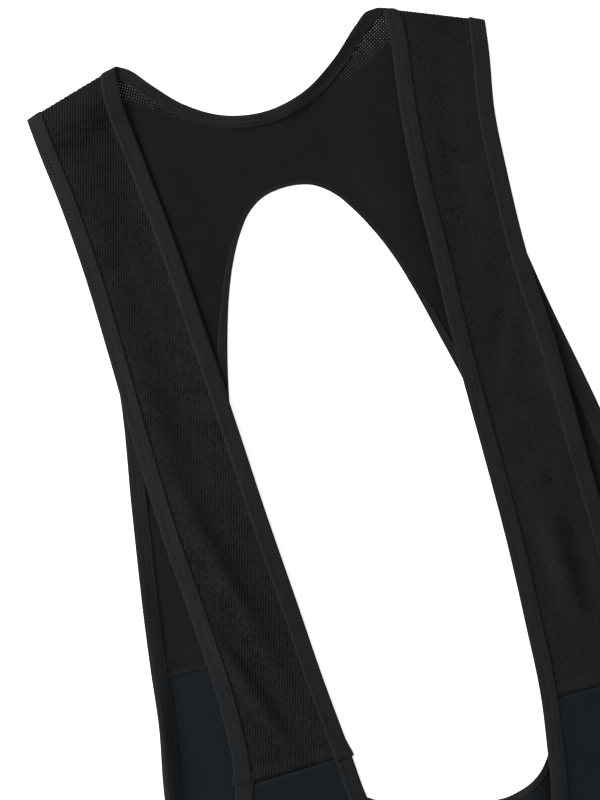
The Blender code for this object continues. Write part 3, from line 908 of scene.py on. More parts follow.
def binding_solid(name, points, normals, closed):
    """A folded binding swept along its rows, softly uneven and flat where it lies on the floor."""
    section = binding_section()
    shares = np.array([point.share for point in section])
    heights = np.array([point.height for point in section])
    half_across = len(section) // 4
    along = lengths_of(points[:, half_across])
    swell = np.zeros(points.shape[:2])
    for part in SWELLS:
        phase = along[:, None] / part.length + part.phase + part.slant * shares[None, :]
        swell += part.size * np.sin(phase)
    wide = np.linalg.norm(points[:, len(BINDING_FACE)] - points[:, 0], axis=1)
    rise = np.clip(wide / BINDING_WIDTH / FULL_WIDTH, LEAST_RISE, 1)[:, None]
    offset = rise * heights[None, :] * (1 + swell)
    solid = points + normals * offset[..., None]
    solid[..., 2] = np.maximum(solid[..., 2], 0)
    rows, columns = solid.shape[:2]
    faces = grid_faces(rows, columns, closed_rows=closed, closed_columns=True)
    piece = mesh_object(name, solid.reshape(-1, 3), faces)
    if not closed:
        cap_ends(piece, rows, columns)
    face_out(piece)
    pattern_map(piece, np.tile(shares * BINDING_WIDTH, rows), np.repeat(along, columns))
    return piece


def cap_ends(piece, rows, columns):
    """Closes the two ends of a swept tube."""
    mesh = bmesh.new()
    mesh.from_mesh(piece.data)
    mesh.verts.ensure_lookup_table()
    first = [mesh.verts[k] for k in range(columns)]
    last = [mesh.verts[(rows - 1) * columns + k] for k in range(columns)]
    mesh.faces.new(first)
    mesh.faces.new(last[::-1])
    bmesh.ops.recalc_face_normals(mesh, faces=mesh.faces)
    mesh.to_mesh(piece.data)
    mesh.free()
    piece.data.shade_smooth()


# ---------------------------------------------------------------- outlines


LEFT = Side(-1, LEFT_STRAP, LEFT_BACK_ARM)
RIGHT = Side(1, RIGHT_STRAP, RIGHT_BACK_ARM)
NECK_LINE = sampled(NECKLINE)
LEFT_OPENING = LEFT_ARCH[1:] + LEFT_LOWER_OPENING[:-1]
OPENING = sampled(RIGHT_ARCH + RIGHT_LOWER_OPENING + LEFT_OPENING[::-1], closed=True)
ARCH_END = (len(LEFT_ARCH) - 1) * SPAN_STEPS  # the yoke's seam, in the opening's points from its top
OPENING_FOOT = ARCH_END + len(LEFT_LOWER_OPENING) * SPAN_STEPS


def opening_inside():
    """Where the back's cloth ends round the opening, under the strip that edges it."""
    return OPENING + sideways(OPENING, closed=True) * (lip_width(OPENING) - LIP_TUCK)[:, None]


def down_side(ring, side):
    """A ring round the opening, from its top down one side first."""
    return ring if side.sign > 0 else np.roll(ring[::-1], 1, axis=0)


# ---------------------------------------------------------------- nets


def strap_outline(side):
    """The cut of a strap's net, unrolled at the shoulder, and its seams as straight trims."""
    fold = side.neck_fold
    neck = side.within(side.front_neck, RIM, "neck")[: side.seam + 1]
    arm = side.within(side.front_arm, RIM, "arm")[: side.seam + 1]
    over = (np.pi * TURN_RADIUS + SHOULDER_SEAM - 2 * TURN_INSET) * fold.out
    neck[0] = fold.corner + RIM * fold.along + over
    arm[0] = side.arm_fold.corner - RIM * fold.along + over
    neck[-1, 1] -= SEAM_LAP
    arm[-1, 1] -= SEAM_LAP
    down = -square_to(arm[-1] - neck[-1])
    return np.vstack([neck, arm[::-1]]), [(neck[0].copy(), fold.out), (neck[-1].copy(), down)]


def past_trims(outline, trims, spare):
    """The outline with the points on its trims carried past them, so that whole cells reach every trim."""
    outline = outline.copy()
    for point, beyond in trims:
        on_trim = np.abs((outline - point) @ beyond) < ON_TRIM
        outline[on_trim] += spare * beyond
    return outline


def yoke_outline(side):
    """The cut of one half of the yoke's net, as far as the middle of the back, and its straight trims."""
    fold = side.neck_fold
    behind = SHOULDER_SEAM + SEAM_GAP
    corner = fold.corner - behind * fold.out
    arm = side.within(side.back_arm, RIM, "arm")[: side.back_seam + 1]
    arm[0] = side.arm_fold.corner - RIM * fold.along - behind * fold.out
    neckline = NECK_LINE - sideways(NECK_LINE) * (NECKLINE_WIDTH - TUCK)
    half = len(neckline) // 2
    neckline = neckline[: half + 1] if side.sign < 0 else neckline[half:][::-1]
    kept = (fold.corner - neckline) @ fold.out > behind
    kept &= (fold.corner - neckline) @ fold.along > CORNER_TUCK
    neckline = np.vstack([corner + RIM * fold.along, corner - CORNER_TUCK * fold.along, neckline[kept]])
    ring = down_side(opening_inside(), side)[: ARCH_END + 1]
    arm[-1, 1] -= SEAM_LAP
    ring[-1, 1] -= SEAM_LAP
    middle = np.array([[0, neckline[-1, 1]], [0, ring[0, 1]]])
    down = np.array([0.0, -1.0])
    across = np.array([-float(side.sign), 0.0])
    trims = [(arm[0], fold.out), (arm[-1], down), (middle[0], across)]
    return np.vstack([arm[::-1], neckline, middle, ring]), trims


def corner_opening(side, cloth):
    """How far the yoke's cells are pulled open, by the lifted corner beside each shoulder."""
    zone = OPEN_CORNERS[side.name]
    start, end = np.array([zone.x0, zone.y0]), np.array([zone.x1, zone.y1])
    run = unit(end - start)
    length = np.linalg.norm(end - start)
    fold = side.neck_fold

    def opened(points):
        """Each cell's hole as a share of the cell, and that it goes right through."""
        gone = (points - start) @ run
        along = np.clip(gone / length, 0, 1)
        aside = np.abs((points - start) @ square_to(run))
        depth = zone.depth * (1 - along) + zone.end_depth * along
        share = cloth.corner_hole * zone.hole * (1 - CORNER_FADE * along)
        share = share * smooth(CORNER_EDGE_SLOPE * (CORNER_EDGE - aside / depth))
        share = share * patchy(points, CORNER_LEAST, CORNER_PATCHES)
        share = share * smooth(CORNER_END_SLOPE * (1 - along))
        share = share * smooth((fold.corner - PAST_FOLD * fold.out - points) @ fold.out)
        return np.where((along < 1) & (gone >= -zone.depth), share, 0), np.full(len(points), True)

    return opened


def strap_pits(side, trims, cloth):
    """How large a strap's pits are. They end at its seams and a little past the shoulder fold."""
    fold = side.neck_fold
    edges = [(point - beyond * cloth.net_pitch / MM / 2, beyond) for point, beyond in trims]
    edges.append((fold.corner + PAST_FOLD * fold.out, fold.out))

    def pitted(points):
        """Each cell's pit as a share of the cell, and that it doesn't go right through."""
        chance = np.random.default_rng(len(points)).uniform(1 - PIT_CHANCE, 1 + PIT_CHANCE, len(points))
        share = cloth.net_hole * chance * patchy(points, STRAP_LEAST, STRAP_PATCHES)
        # wider pits towards the shoulder bring more painted shade, so the strap is darker there
        near_shoulder = smooth((points[:, 1] - SHOULDER_PIT_SHADE_Y) / SHOULDER_PIT_SHADE_RUN)
        share = share * (1 + SHOULDER_PIT_SHADE[side.name] * near_shoulder)
        for point, beyond in edges:
            share = share * smooth((point - points) @ beyond)
        return share, np.full(len(points), False)

    return pitted


# ---------------------------------------------------------------- knit panels


def seam_edge(points, outward, angle):
    """Each row's edge, turned round to its seam with the other layer."""
    facing = math.cos(angle)
    radius = TURN_RADIUS - SEAM_CLEARANCE
    sine, cosine = np.sin(EDGE_TURN), np.cos(EDGE_TURN)
    x = points[:, :1] + outward * (radius * sine - TURN_INSET)
    y = np.repeat(points[:, 1:2], len(sine), axis=1)
    z = np.full(x.shape, PANEL_WALL / 2 + TURN_RADIUS) + facing * (SEAM_CLEARANCE + radius * cosine)
    flat = np.zeros(x.shape)
    normals = np.stack([flat + outward * sine, flat, flat + facing * cosine], axis=-1)
    return np.stack([x, y, z], axis=-1), normals


def flat_edge(points, towards, angle):
    """As many points at each row's end as a seam's edge has, where the cloth lies flat."""
    step = unit(towards - points)
    inner = (TURN_RADIUS - SEAM_CLEARANCE) * (1 - np.sin(EDGE_TURN))
    return laid(points[:, None, :] + step[:, None, :] * inner[None, :, None], PANEL_WALL, angle)


def panel_rows(inner_edge, outer_edge, angle, bow):
    """Whole rows of a panel, from the inner edge to the outer one, each bowed down by its own height."""
    start, end = inner_edge[0][:, 0, :2], outer_edge[0][:, 0, :2]
    share = np.linspace(0, 1, PANEL_COLUMNS + 1)[1:-1]
    plan = start[:, None, :] + (end - start)[:, None, :] * share[None, :, None]
    plan[..., 1] -= bow[:, None] * np.sin(np.pi * share)[None, :]
    parts = zip(inner_edge, laid(plan, PANEL_WALL, angle), outer_edge)
    return [np.concatenate([inner[:, ::-1], field, outer], axis=1) for inner, field, outer in parts]


def knit_rows(side, angle, top_inner, top_outer, top):
    """A panel's rows in three parts: to where the bindings end, to the crotch, and down the leg."""
    sign = side.sign
    bowed = ROW_BOW * (angle == BACK)
    body = (top, *BODY)
    centre = [(sign * row.inner_x, row.inner_y) for row in body]
    seam = sampled(centre[:CROTCH_ROWS])
    seam[:, 0] = sign * SEAM_CLEARANCE
    seam[0, 1] -= RIM if angle == FRONT else LIPS[0].left - LIP_TUCK
    inner = np.vstack([seam, sampled(centre[CROTCH_ROWS - 1 :])[1:]])
    outer = sampled([(sign * row.side_x, row.side_y) for row in body])
    outer[0, 1] -= RIM
    crotch, last = len(seam) - 1, len(outer) - 1
    to_crotch = np.linspace(0, crotch, crotch // 2 + 1)
    to_hem = np.arange(crotch + 1, last - HEM_STEPS, LEG_STEP)
    down_leg = np.concatenate([to_hem, np.linspace(last - HEM_STEPS, last, HEM_ROWS)])
    places = np.arange(last + 1)
    start, end = top_inner[:-1], top_outer[:-1]
    bow = bowed * smooth(2 * np.linspace(0, 1, len(top_inner))[:-1] - 1)
    upper = panel_rows(flat_edge(start, end, angle), flat_edge(end, start, angle), angle, bow)
    start, end = read_at(inner, places, to_crotch), read_at(outer, places, to_crotch)
    bow = bowed * smooth(1 - (start[0, 1] - start[:, 1]) / ROW_BOW / BOW_FADE)
    middle = panel_rows(flat_edge(start, end, angle), seam_edge(end, sign, angle), angle, bow)
    start, end = read_at(inner, places, down_leg), read_at(outer, places, down_leg)
    bow = np.zeros(len(start))
    leg = panel_rows(seam_edge(start, -sign, angle), seam_edge(end, sign, angle), angle, bow)
    return upper, middle, leg


def turned_cloth(from_top, from_hem, angle):
    """How much thicker a panel is where cloth is turned in, at the hem and at the yoke's seam."""
    folded = 1 - smooth((from_hem - HEM_WIDTH) / HEM_FOLD_STEP)
    extra = HEM_FOLD * folded * smooth((from_hem + HEM_FOLD_STEP / 2) / HEM_FOLD_STEP)
    if angle == BACK:
        folded = 1 - smooth((from_top - SEAM_ALLOWANCE) / SEAM_FOLD_STEP)
        extra += SEAM_FOLD * folded * smooth((from_top - SEAM_FOLD_START) / SEAM_FOLD_RISE)
    return extra


def knit_wall(from_top, parts):
    """A panel's wall, without what is turned in: thinner at its top and at its seams' edges."""
    upper, middle, leg = (len(part[0]) for part in parts)
    turned = len(EDGE_TURN)
    wall = np.full(from_top.shape, PANEL_WALL)
    wall[upper:, -turned:] *= EDGE_THICKNESS
    wall[-leg:, :turned] *= EDGE_THICKNESS[::-1]
    wall[upper : upper + middle, :turned] *= CENTRE_THICKNESS
    return wall * (TOP_EDGE + (1 - TOP_EDGE) * smooth(from_top / TOP_EDGE_RUN + TOP_EDGE_START))


def knit_panel(side, angle, top_inner, top_outer, top):
    """One half of the front or back with its leg, its edges in bindings above and in seams below."""
    parts = knit_rows(side, angle, top_inner, top_outer, top)
    points, normals = (np.concatenate(rows) for rows in zip(*parts))
    from_top = points[:1, :, 1] - points[..., 1]
    from_hem = np.abs(points[..., 1] - points[-1:, :, 1])
    extra = turned_cloth(from_top, from_hem, angle)
    groove = sum(np.exp(-(((from_hem - row) / GROOVE_WIDTH) ** 2)) * GROOVE_DEPTH for row in HEM_STITCHES)
    wall = knit_wall(from_top, parts) + extra - groove
    points[..., 2] += extra / 2
    layer = "front" if angle == FRONT else "back"
    piece = shell(f"knit_{layer}_{side.name}", points, normals, wall[..., None])
    plan = points[..., :2].reshape(-1, 2)
    pattern_map(piece, *np.vstack([plan, plan]).T)
    return piece


# ---------------------------------------------------------------- strips of binding


def strips(shares):
    """The rows of every binding at these shares of its width: points, normals and whether it closes."""
    neck_folds = [LEFT.neck_fold, RIGHT.neck_fold]
    first_end = LEFT.seam + NECK_LAP
    up_left = evened(LEFT.front_neck[: first_end + 1][::-1], BINDING_ROW)
    last_end = LEFT.front_neck[first_end - LAP_UNDER :][::-1]
    down_and_up = evened(np.vstack([RIGHT.front_neck, last_end[1:]]), BINDING_ROW)
    behind = evened(NECK_LINE, BINDING_ROW)
    found = {
        "neck": joined_rows(
            strip_rows(up_left, 1, FRONT, shares, neck_folds[:1], lapped="over"),
            turn_rows(LEFT.neck_fold, shares, LEFT.front_neck, NECK_LINE, True),
            strip_rows(behind, -1, BACK, shares, neck_folds, NECKLINE_WIDTH),
            turn_rows(RIGHT.neck_fold, shares, RIGHT.front_neck, NECK_LINE, False),
            strip_rows(down_and_up, 1, FRONT, shares, neck_folds[1:]),
        )
    }
    for side in (LEFT, RIGHT):
        sign = side.sign
        first_end = side.seam + ARM_LAP
        up_strap = evened(side.front_arm[: first_end + 1][::-1], BINDING_ROW)
        up_bib = evened(side.front_arm[first_end - LAP_UNDER :][::-1], BINDING_ROW)
        down_back = evened(side.back_arm, BINDING_ROW)
        both = side.front_arm, side.back_arm
        found[f"armhole_{side.name}"] = joined_rows(
            strip_rows(up_strap, sign, FRONT, shares, [side.arm_fold], lapped="over"),
            turn_rows(side.arm_fold, shares, *both, True),
            strip_rows(down_back, -sign, BACK, shares, [side.arm_fold, side.side_fold]),
            turn_rows(side.side_fold, shares, *both, False),
            strip_rows(up_bib, sign, FRONT, shares, [side.side_fold], lapped="under"),
        )
    found = {name: (*rows, False) for name, rows in found.items()}
    ring = evened(np.vstack([OPENING, OPENING[:1]]), BINDING_ROW)[:-1]
    reach = lip_width(ring)[:, None] * np.array(shares)[None, :]
    plan = ring[:, None, :] + sideways(ring, closed=True)[:, None, :] * reach[..., None]
    found["opening"] = (*laid(plan, BINDING_WALL, BACK), True)
    return found


# ---------------------------------------------------------------- stitches


def threads(name, starts, ends, normals, sewing):
    """One mesh of short threads, each from its needle hole in painted shade up, along the cloth and down
    again.
    """
    length = np.linalg.norm(ends - starts, axis=1)[:, None]
    run = unit(ends - starts)
    aside = unit(np.cross(normals, run))
    radius = sewing.thread_width / MM / 2
    hole = sewing.needle_hole / MM / 2
    rings = []
    for along, raised_by, wide, high in (
        (-1.1 * hole, 0.0, 0.4 * hole, 0.3 * radius),
        (-0.3 * hole, 0.0, hole, 0.5 * radius),
        (0.8 * hole, 0.2 * radius, radius, radius),
        (length - 2 * radius, 0.75 * radius, radius, radius),
        (length, -0.8 * radius, 0.8 * radius, 0.8 * radius),
    ):
        spot = starts + run * along + normals * raised_by
        across, up = wide * aside, high * normals
        rings += [spot + across, spot + up, spot - across, spot - up]
    points = np.stack(rings, axis=1)
    points[..., 2] = np.maximum(points[..., 2], 0)
    size = len(rings)
    base = np.arange(len(starts))[:, None] * size
    cells = [[3, 2, 1, 0], *grid_faces(size // 4, 4, closed_columns=True), range(size - 4, size)]
    faces = np.vstack([base + np.array(cell)[None, :] for cell in cells])
    piece = mesh_object(name, points.reshape(-1, 3), faces)
    face_out(piece)
    # the needle holes' faces take the second material, a near-black painted shade
    hole_faces = (1 + 4 * HOLE_RINGS) * len(starts)
    in_holes = np.arange(len(faces)) < hole_faces
    piece.data.polygons.foreach_set("material_index", in_holes.astype(np.int32))
    return piece


def stitch_line(points, normals, pitch):
    """Where the threads of one row of stitches start and end, along a line, with their normals."""
    along = lengths_of(points)
    starts = np.arange(pitch, along[-1] - pitch, pitch)
    shown = pitch * STITCH_SHOWING
    facing = unit(read_at(normals, along, starts + shown / 2))
    return read_at(points, along, starts), read_at(points, along, starts + shown), facing


def yoke_zigzag(side, offset):
    """The threads of one of the two crossing zigzags that hold the yoke's seam down, inside the back."""
    edge = down_side(OPENING, side)[ARCH_END]
    start = edge[0] + side.sign * (lip_width(edge) + ZIGZAG_MARGIN)
    end = side.back_arm[side.back_seam, 0] - side.sign * (BINDING_WIDTH - ZIGZAG_MARGIN)
    spots = np.arange(0, abs(end - start), ZIGZAG_STEP)
    plan = np.column_stack([start + side.sign * spots, np.full(len(spots), edge[1] - ZIGZAG_DROP)])
    plan[:, 1] += np.where((np.arange(len(plan)) + offset) % 2, 0.5, -0.5) * ZIGZAG_WIDTH
    points = np.column_stack([plan, PANEL_WALL + SEAM_FOLD + lift(plan, BACK)])
    facing = np.tile([0.0, 0.0, 1.0], (len(points) - 1, 1))
    return points[:-1], points[1:], facing


def hem_row(side, row, sewing):
    """The threads of one row along the front of a leg's hem."""
    last = BODY[-1]
    start = np.array([side.sign * (last.inner_x + HEM_STITCH_MARGIN), last.inner_y + row])
    end = np.array([side.sign * (last.side_x - HEM_STITCH_MARGIN), last.side_y + row])
    plan = start + np.linspace(0, 1, HEM_STITCH_POINTS)[:, None] * (end - start)
    points, normals = laid(plan, PANEL_WALL, FRONT)
    points[:, 2] += PANEL_WALL / 2 + HEM_FOLD - HEM_STITCH_SINK
    return stitch_line(points, normals, sewing.stitch_length / MM * HEM_STITCH)


# ---------------------------------------------------------------- materials


def new_material(name, colour, roughness, sheen=0.0, shine=0.05):
    """A matt material, by default with a cloth's little shine, and its shader."""
    material = bpy.data.materials.new(name)
    material.use_nodes = True
    shader = material.node_tree.nodes["Principled BSDF"]
    shader.inputs["Base Color"].default_value = (*colour, 1)
    shader.inputs["Roughness"].default_value = roughness
    shader.inputs["Metallic"].default_value = 0
    shader.inputs["Specular IOR Level"].default_value = shine
    shader.inputs["Sheen Weight"].default_value = sheen
    shader.inputs["Sheen Roughness"].default_value = 0.5
    return material, shader


def add_node(material, kind, **values):
    """A node with these values in its sockets, or in its settings where it has no such socket."""
    node = material.node_tree.nodes.new(kind)
    for name, value in values.items():
        if name in node.inputs:
            node.inputs[name].default_value = value
        else:
            setattr(node, name, value)
    return node


def add_bump(material, height, distance, under=None):
    """Lays the height of one pattern over the bump under it, and gives the normal."""
    bump = add_node(material, "ShaderNodeBump", Strength=1.0, Distance=distance)
    material.node_tree.links.new(height, bump.inputs["Height"])
    if under is not None:
        material.node_tree.links.new(under, bump.inputs["Normal"])
    return bump.outputs["Normal"]


def uneven_colour(material, shader, colour, coordinates):
    """Lets the dye vary from place to place, in wide clouds and in grains about a millimetre across."""
    links = material.node_tree.links
    amount = DYE_GRAIN + DYE_CLOUDS
    cloud = add_node(material, "ShaderNodeTexNoise", Scale=60.0, Detail=3.0, Roughness=0.55)
    grains = add_node(material, "ShaderNodeTexNoise", Scale=900.0, Detail=2.0, Roughness=0.6)
    both = add_node(material, "ShaderNodeMix", data_type="FLOAT", Factor=DYE_GRAIN / amount)
    mix = add_node(material, "ShaderNodeMix", data_type="RGBA")
    mix.inputs["A"].default_value = (*[c * (1 - amount) for c in colour], 1)
    mix.inputs["B"].default_value = (*[c * (1 + amount) for c in colour], 1)
    links.new(coordinates, cloud.inputs["Vector"])
    links.new(coordinates, grains.inputs["Vector"])
    links.new(cloud.outputs["Fac"], both.inputs["A"])
    links.new(grains.outputs["Fac"], both.inputs["B"])
    links.new(both.outputs["Result"], mix.inputs["Factor"])
    links.new(mix.outputs["Result"], shader.inputs["Base Color"])


def bumps(material, shader, waves, coordinates, fibre):
    """Adds patterns of threads as bump, and the fibre's own over them, with its height in metres."""
    links = material.node_tree.links
    last = None
    for wave in waves:
        bands = add_node(material, "ShaderNodeTexWave", wave_type="BANDS", bands_direction=wave.direction)
        bands.inputs["Scale"].default_value = 2 * math.pi / WAVE_TURN / wave.spacing
        bands.inputs["Distortion"].default_value = 0.6
        bands.inputs["Detail"].default_value = 1.0
        bands.inputs["Detail Scale"].default_value = 2.0
        links.new(coordinates, bands.inputs["Vector"])
        last = add_bump(material, bands.outputs["Fac"], wave.height, last)
    noise = add_node(material, "ShaderNodeTexNoise", Scale=2600.0, Detail=2.0)
    links.new(coordinates, noise.inputs["Vector"])
    last = add_bump(material, noise.outputs["Fac"], fibre, last)
    links.new(last, shader.inputs["Normal"])


def cloth_material(name, colour, roughness, fibre, sheen=0.0, waves=(), turn=0.0):
    """A cloth whose threads follow the piece's own map."""
    material, shader = new_material(name, colour, roughness, sheen)
    uv = add_node(material, "ShaderNodeUVMap", uv_map="cloth")
    mapping = add_node(material, "ShaderNodeMapping", Rotation=(0, 0, turn))
    material.node_tree.links.new(uv.outputs["UV"], mapping.inputs["Vector"])
    place = mapping.outputs["Vector"]
    uneven_colour(material, shader, colour, place)
    bumps(material, shader, waves, place, fibre)
    return material


def thread_material(colour):
    """Sewing thread with its twisted fibres."""
    material, shader = new_material("sewing thread", colour, 0.55)
    links = material.node_tree.links
    noise = add_node(material, "ShaderNodeTexNoise", Scale=4000.0, Detail=2.0)
    place = add_node(material, "ShaderNodeTexCoord")
    links.new(place.outputs["Object"], noise.inputs["Vector"])
    links.new(add_bump(material, noise.outputs["Fac"], THREAD_FIBRE), shader.inputs["Normal"])
    return material


def painted_shade_material(name, colour, share):
    """A dull material that is this much as light as a colour, for painted shade."""
    return new_material(name, [c * share for c in colour], 0.9)[0]


def floor_material():
    """A white matt floor that glows a little, so that it is as light in the garment's shade."""
    material, shader = new_material("white floor", (FLOOR_WHITE, FLOOR_WHITE, FLOOR_WHITE), 0.9, shine=0.0)
    shader.inputs["Emission Color"].default_value = (1, 1, 1, 1)
    shader.inputs["Emission Strength"].default_value = FLOOR_GLOW
    return material


# ---------------------------------------------------------------- settings


class BibCloth(bpy.types.PropertyGroup):
    """The cloths' sizes and colours."""

    net_pitch: bpy.props.FloatProperty(
        name="Net pitch", description="From one pit to the next", default=0.00135, unit="LENGTH",
        precision=5,
    )
    net_hole: bpy.props.FloatProperty(
        name="Strap pit", description="A strap's pit as a share of its cell", default=0.40,
        subtype="FACTOR",
    )
    # painted shade: how light the pits' floors are beside the straps' yarns
    pit_painted_shade: bpy.props.FloatProperty(
        name="Pit painted shade", description="How light a pit is beside its yarns", default=0.42, subtype="FACTOR"
    )
    # painted shade: how light the yarn round the yoke's open holes is beside the rest of the net
    pulled_painted_shade: bpy.props.FloatProperty(
        name="Pulled yarn painted shade", description="How light the yoke's yarn is where it is pulled open",
        default=0.15, subtype="FACTOR",
    )
    corner_hole: bpy.props.FloatProperty(
        name="Corner holes", description="How far the yoke's corners are pulled open", default=1.0,
        subtype="FACTOR",
    )
    net_thickness: bpy.props.FloatProperty(
        name="Net thickness", description="Where its yarns cross", default=0.0006, unit="LENGTH",
        precision=5,
    )
    strap_colour: bpy.props.FloatVectorProperty(
        name="Strap net", description="Colour of the straps' net", default=(0.0074, 0.0085, 0.0093),
        subtype="COLOR", min=0, max=1,
    )
    yoke_colour: bpy.props.FloatVectorProperty(
        name="Yoke net", description="Colour of the back yoke's net", default=(0.0043, 0.0050, 0.0056),
        subtype="COLOR", min=0, max=1,
    )
    knit_colour: bpy.props.FloatVectorProperty(
        name="Knit", description="Colour of the knit body and legs", default=(0.0034, 0.0047, 0.0060),
        subtype="COLOR", min=0, max=1,
    )
    binding_colour: bpy.props.FloatVectorProperty(
        name="Binding", description="Colour of the bindings", default=(0.0056, 0.0065, 0.0072),
        subtype="COLOR", min=0, max=1,
    )


class BibSewing(bpy.types.PropertyGroup):
    """The stitches' sizes and colour."""

    stitch_length: bpy.props.FloatProperty(
        name="Stitch", description="From one needle hole to the next", default=0.00205, unit="LENGTH",
        precision=5,
    )
    thread_width: bpy.props.FloatProperty(
        name="Thread", description="Width of the sewing thread", default=0.00030, unit="LENGTH", precision=5
    )
    needle_hole: bpy.props.FloatProperty(
        name="Needle hole", description="Width of a needle hole", default=0.0007, unit="LENGTH", precision=5
    )
    # painted shade: the near-black colour of the needle holes
    needle_hole_shade: bpy.props.FloatVectorProperty(
        name="Needle holes", description="Colour in the needle holes painted shade", default=(0.0010, 0.0011, 0.0013),
        subtype="COLOR", min=0, max=1,
    )
    thread_colour: bpy.props.FloatVectorProperty(
        name="Thread colour", description="Colour of the sewing thread", default=(0.0125, 0.0138, 0.0149),
        subtype="COLOR", min=0, max=1,
    )


class BibStage(bpy.types.PropertyGroup):
    """The camera and the lights."""

    lens: bpy.props.FloatProperty(
        name="Lens", description="Focal length of the camera", default=85, unit="CAMERA"
    )
    view_height: bpy.props.FloatProperty(
        name="View height", description="Length that the view takes in on the surface", default=0.432,
        unit="LENGTH",
    )
    view_turn: bpy.props.FloatProperty(
        name="View turn", description="Turn of the camera about its own line", default=math.radians(-16),
        subtype="ANGLE",
    )
    key_power: bpy.props.FloatProperty(
        name="Key light", description="Power of the large light", default=240, unit="POWER"
    )
    sky: bpy.props.FloatProperty(
        name="Sky", description="Strength of the even light from all round", default=0.8
    )


# ---------------------------------------------------------------- operators


def give(piece, material, nodes):
    """Gives a finished piece its cloth, and puts it in its nodes' place on the garment."""
    piece.data.materials.append(material)
    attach(piece, "root")
    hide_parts(*nodes)


class BIB_OT_straps(bpy.types.Operator):
    """Makes the two front straps, nets that go over the shoulders"""

    bl_idname = "bib.straps"
    bl_label = "Front straps"

    def execute(self, context):
        cloth = context.scene.bib_cloth
        colour = cloth.strap_colour
        for side in (LEFT, RIGHT):
            lay = STRAP_LAY[side.name]
            outline, trims = strap_outline(side)
            cells = strap_pits(side, trims, cloth)

            def place(plan):
                """The net turned over the shoulder fold."""
                points, normals = wrapped(plan, side.neck_fold, BINDING_WALL)
                return rolled(points, side.front_neck[side.seam, 1], STRAP_END), normals

            piece = net(f"strap_net_{side.name}", outline, lay, cells, place, cloth, trims)
            name = f"strap net {side.name}"
            material = cloth_material(name, colour, roughness=0.82, fibre=0.00004, turn=-lay.grain)
            give(piece, material, [f"strap_mesh_{side.name}"])
            # the pits' floors take a darker copy of the net's colour, painted shade
            piece.data.materials.append(painted_shade_material(f"strap pits {side.name}", colour, cloth.pit_painted_shade))
        return {"FINISHED"}


class BIB_OT_yoke(bpy.types.Operator):
    """Makes the back yoke, a close net whose cells open at its two lifted corners"""

    bl_idname = "bib.yoke"
    bl_label = "Back yoke"

    def execute(self, context):
        cloth = context.scene.bib_cloth
        halves = []
        for side in (LEFT, RIGHT):
            outline, trims = yoke_outline(side)

            def place(plan):
                """The net laid in the back."""
                points, normals = laid(plan, BINDING_WALL, BACK)
                return rolled(points, side.back_arm[side.back_seam, 1], YOKE_END), normals

            name = f"yoke_net_{side.name}"
            cells = corner_opening(side, cloth)
            halves.append(net(name, outline, YOKE_LAY[side.name], cells, place, cloth, trims))
        bpy.ops.object.select_all(action="DESELECT")
        for half in halves:
            half.select_set(True)
        piece = halves[0]
        context.view_layer.objects.active = piece
        bpy.ops.object.join()
        piece.name = "yoke_net"
        piece.data.name = "yoke_net"
        material = cloth_material("yoke net", cloth.yoke_colour, roughness=0.85, fibre=0.00003)
        give(piece, material, ["back_yoke_mesh"])
        # the yarn round the open holes takes a darker copy of the net's colour, painted shade
        piece.data.materials.append(painted_shade_material("yoke net pulled open painted shade", cloth.yoke_colour, cloth.pulled_painted_shade))
        return {"FINISHED"}


class BIB_OT_knit(bpy.types.Operator):
    """Makes the knit front and back with their legs, in halves that meet at the middle"""

    bl_idname = "bib.knit"
    bl_label = "Knit body and legs"

    def execute(self, context):
        colour = context.scene.bib_cloth.knit_colour
        material = cloth_material(
            "smooth knit", colour, roughness=0.62, fibre=0.00002, sheen=0.04, waves=KNIT_WAVES
        )
        for side in (LEFT, RIGHT):
            inner = side.within(side.front_neck, RIM, "neck")[side.seam :]
            outer = side.within(side.front_arm, RIM, "arm")[side.seam :]
            front = knit_panel(side, FRONT, inner, outer, FRONT_TOP)
            inner = down_side(opening_inside(), side)[ARCH_END : OPENING_FOOT + 1]
            outer = side.within(side.back_arm, RIM, "arm")[side.back_seam :]
            back = knit_panel(side, BACK, inner, outer, BACK_TOP)
            for piece, layer, edge in ((front, "front", "neck"), (back, "back", "opening")):
                node = f"{layer}_{side.name}"
                give(piece, material, [node])
        return {"FINISHED"}


class BIB_OT_bindings(bpy.types.Operator):
    """Makes the folded bindings round the neck, the armholes and the opening in the back"""

    bl_idname = "bib.bindings"
    bl_label = "Bindings"

    def execute(self, context):
        colour = context.scene.bib_cloth.binding_colour
        material = cloth_material(
            "folded binding", colour, roughness=0.7, fibre=0.00003, sheen=0.06, waves=BINDING_WAVES
        )
        nodes = {
            "neck": "neck_binding",
            "armhole_left": "armhole_binding_left",
            "armhole_right": "armhole_binding_right",
            "opening": "back_opening_binding",
        }
        found = strips([point.share for point in binding_section()])
        for name, (points, normals, closed) in found.items():
            piece = binding_solid(f"binding_{name}", points, normals, closed)
            give(piece, material, [nodes[name]])
        return {"FINISHED"}


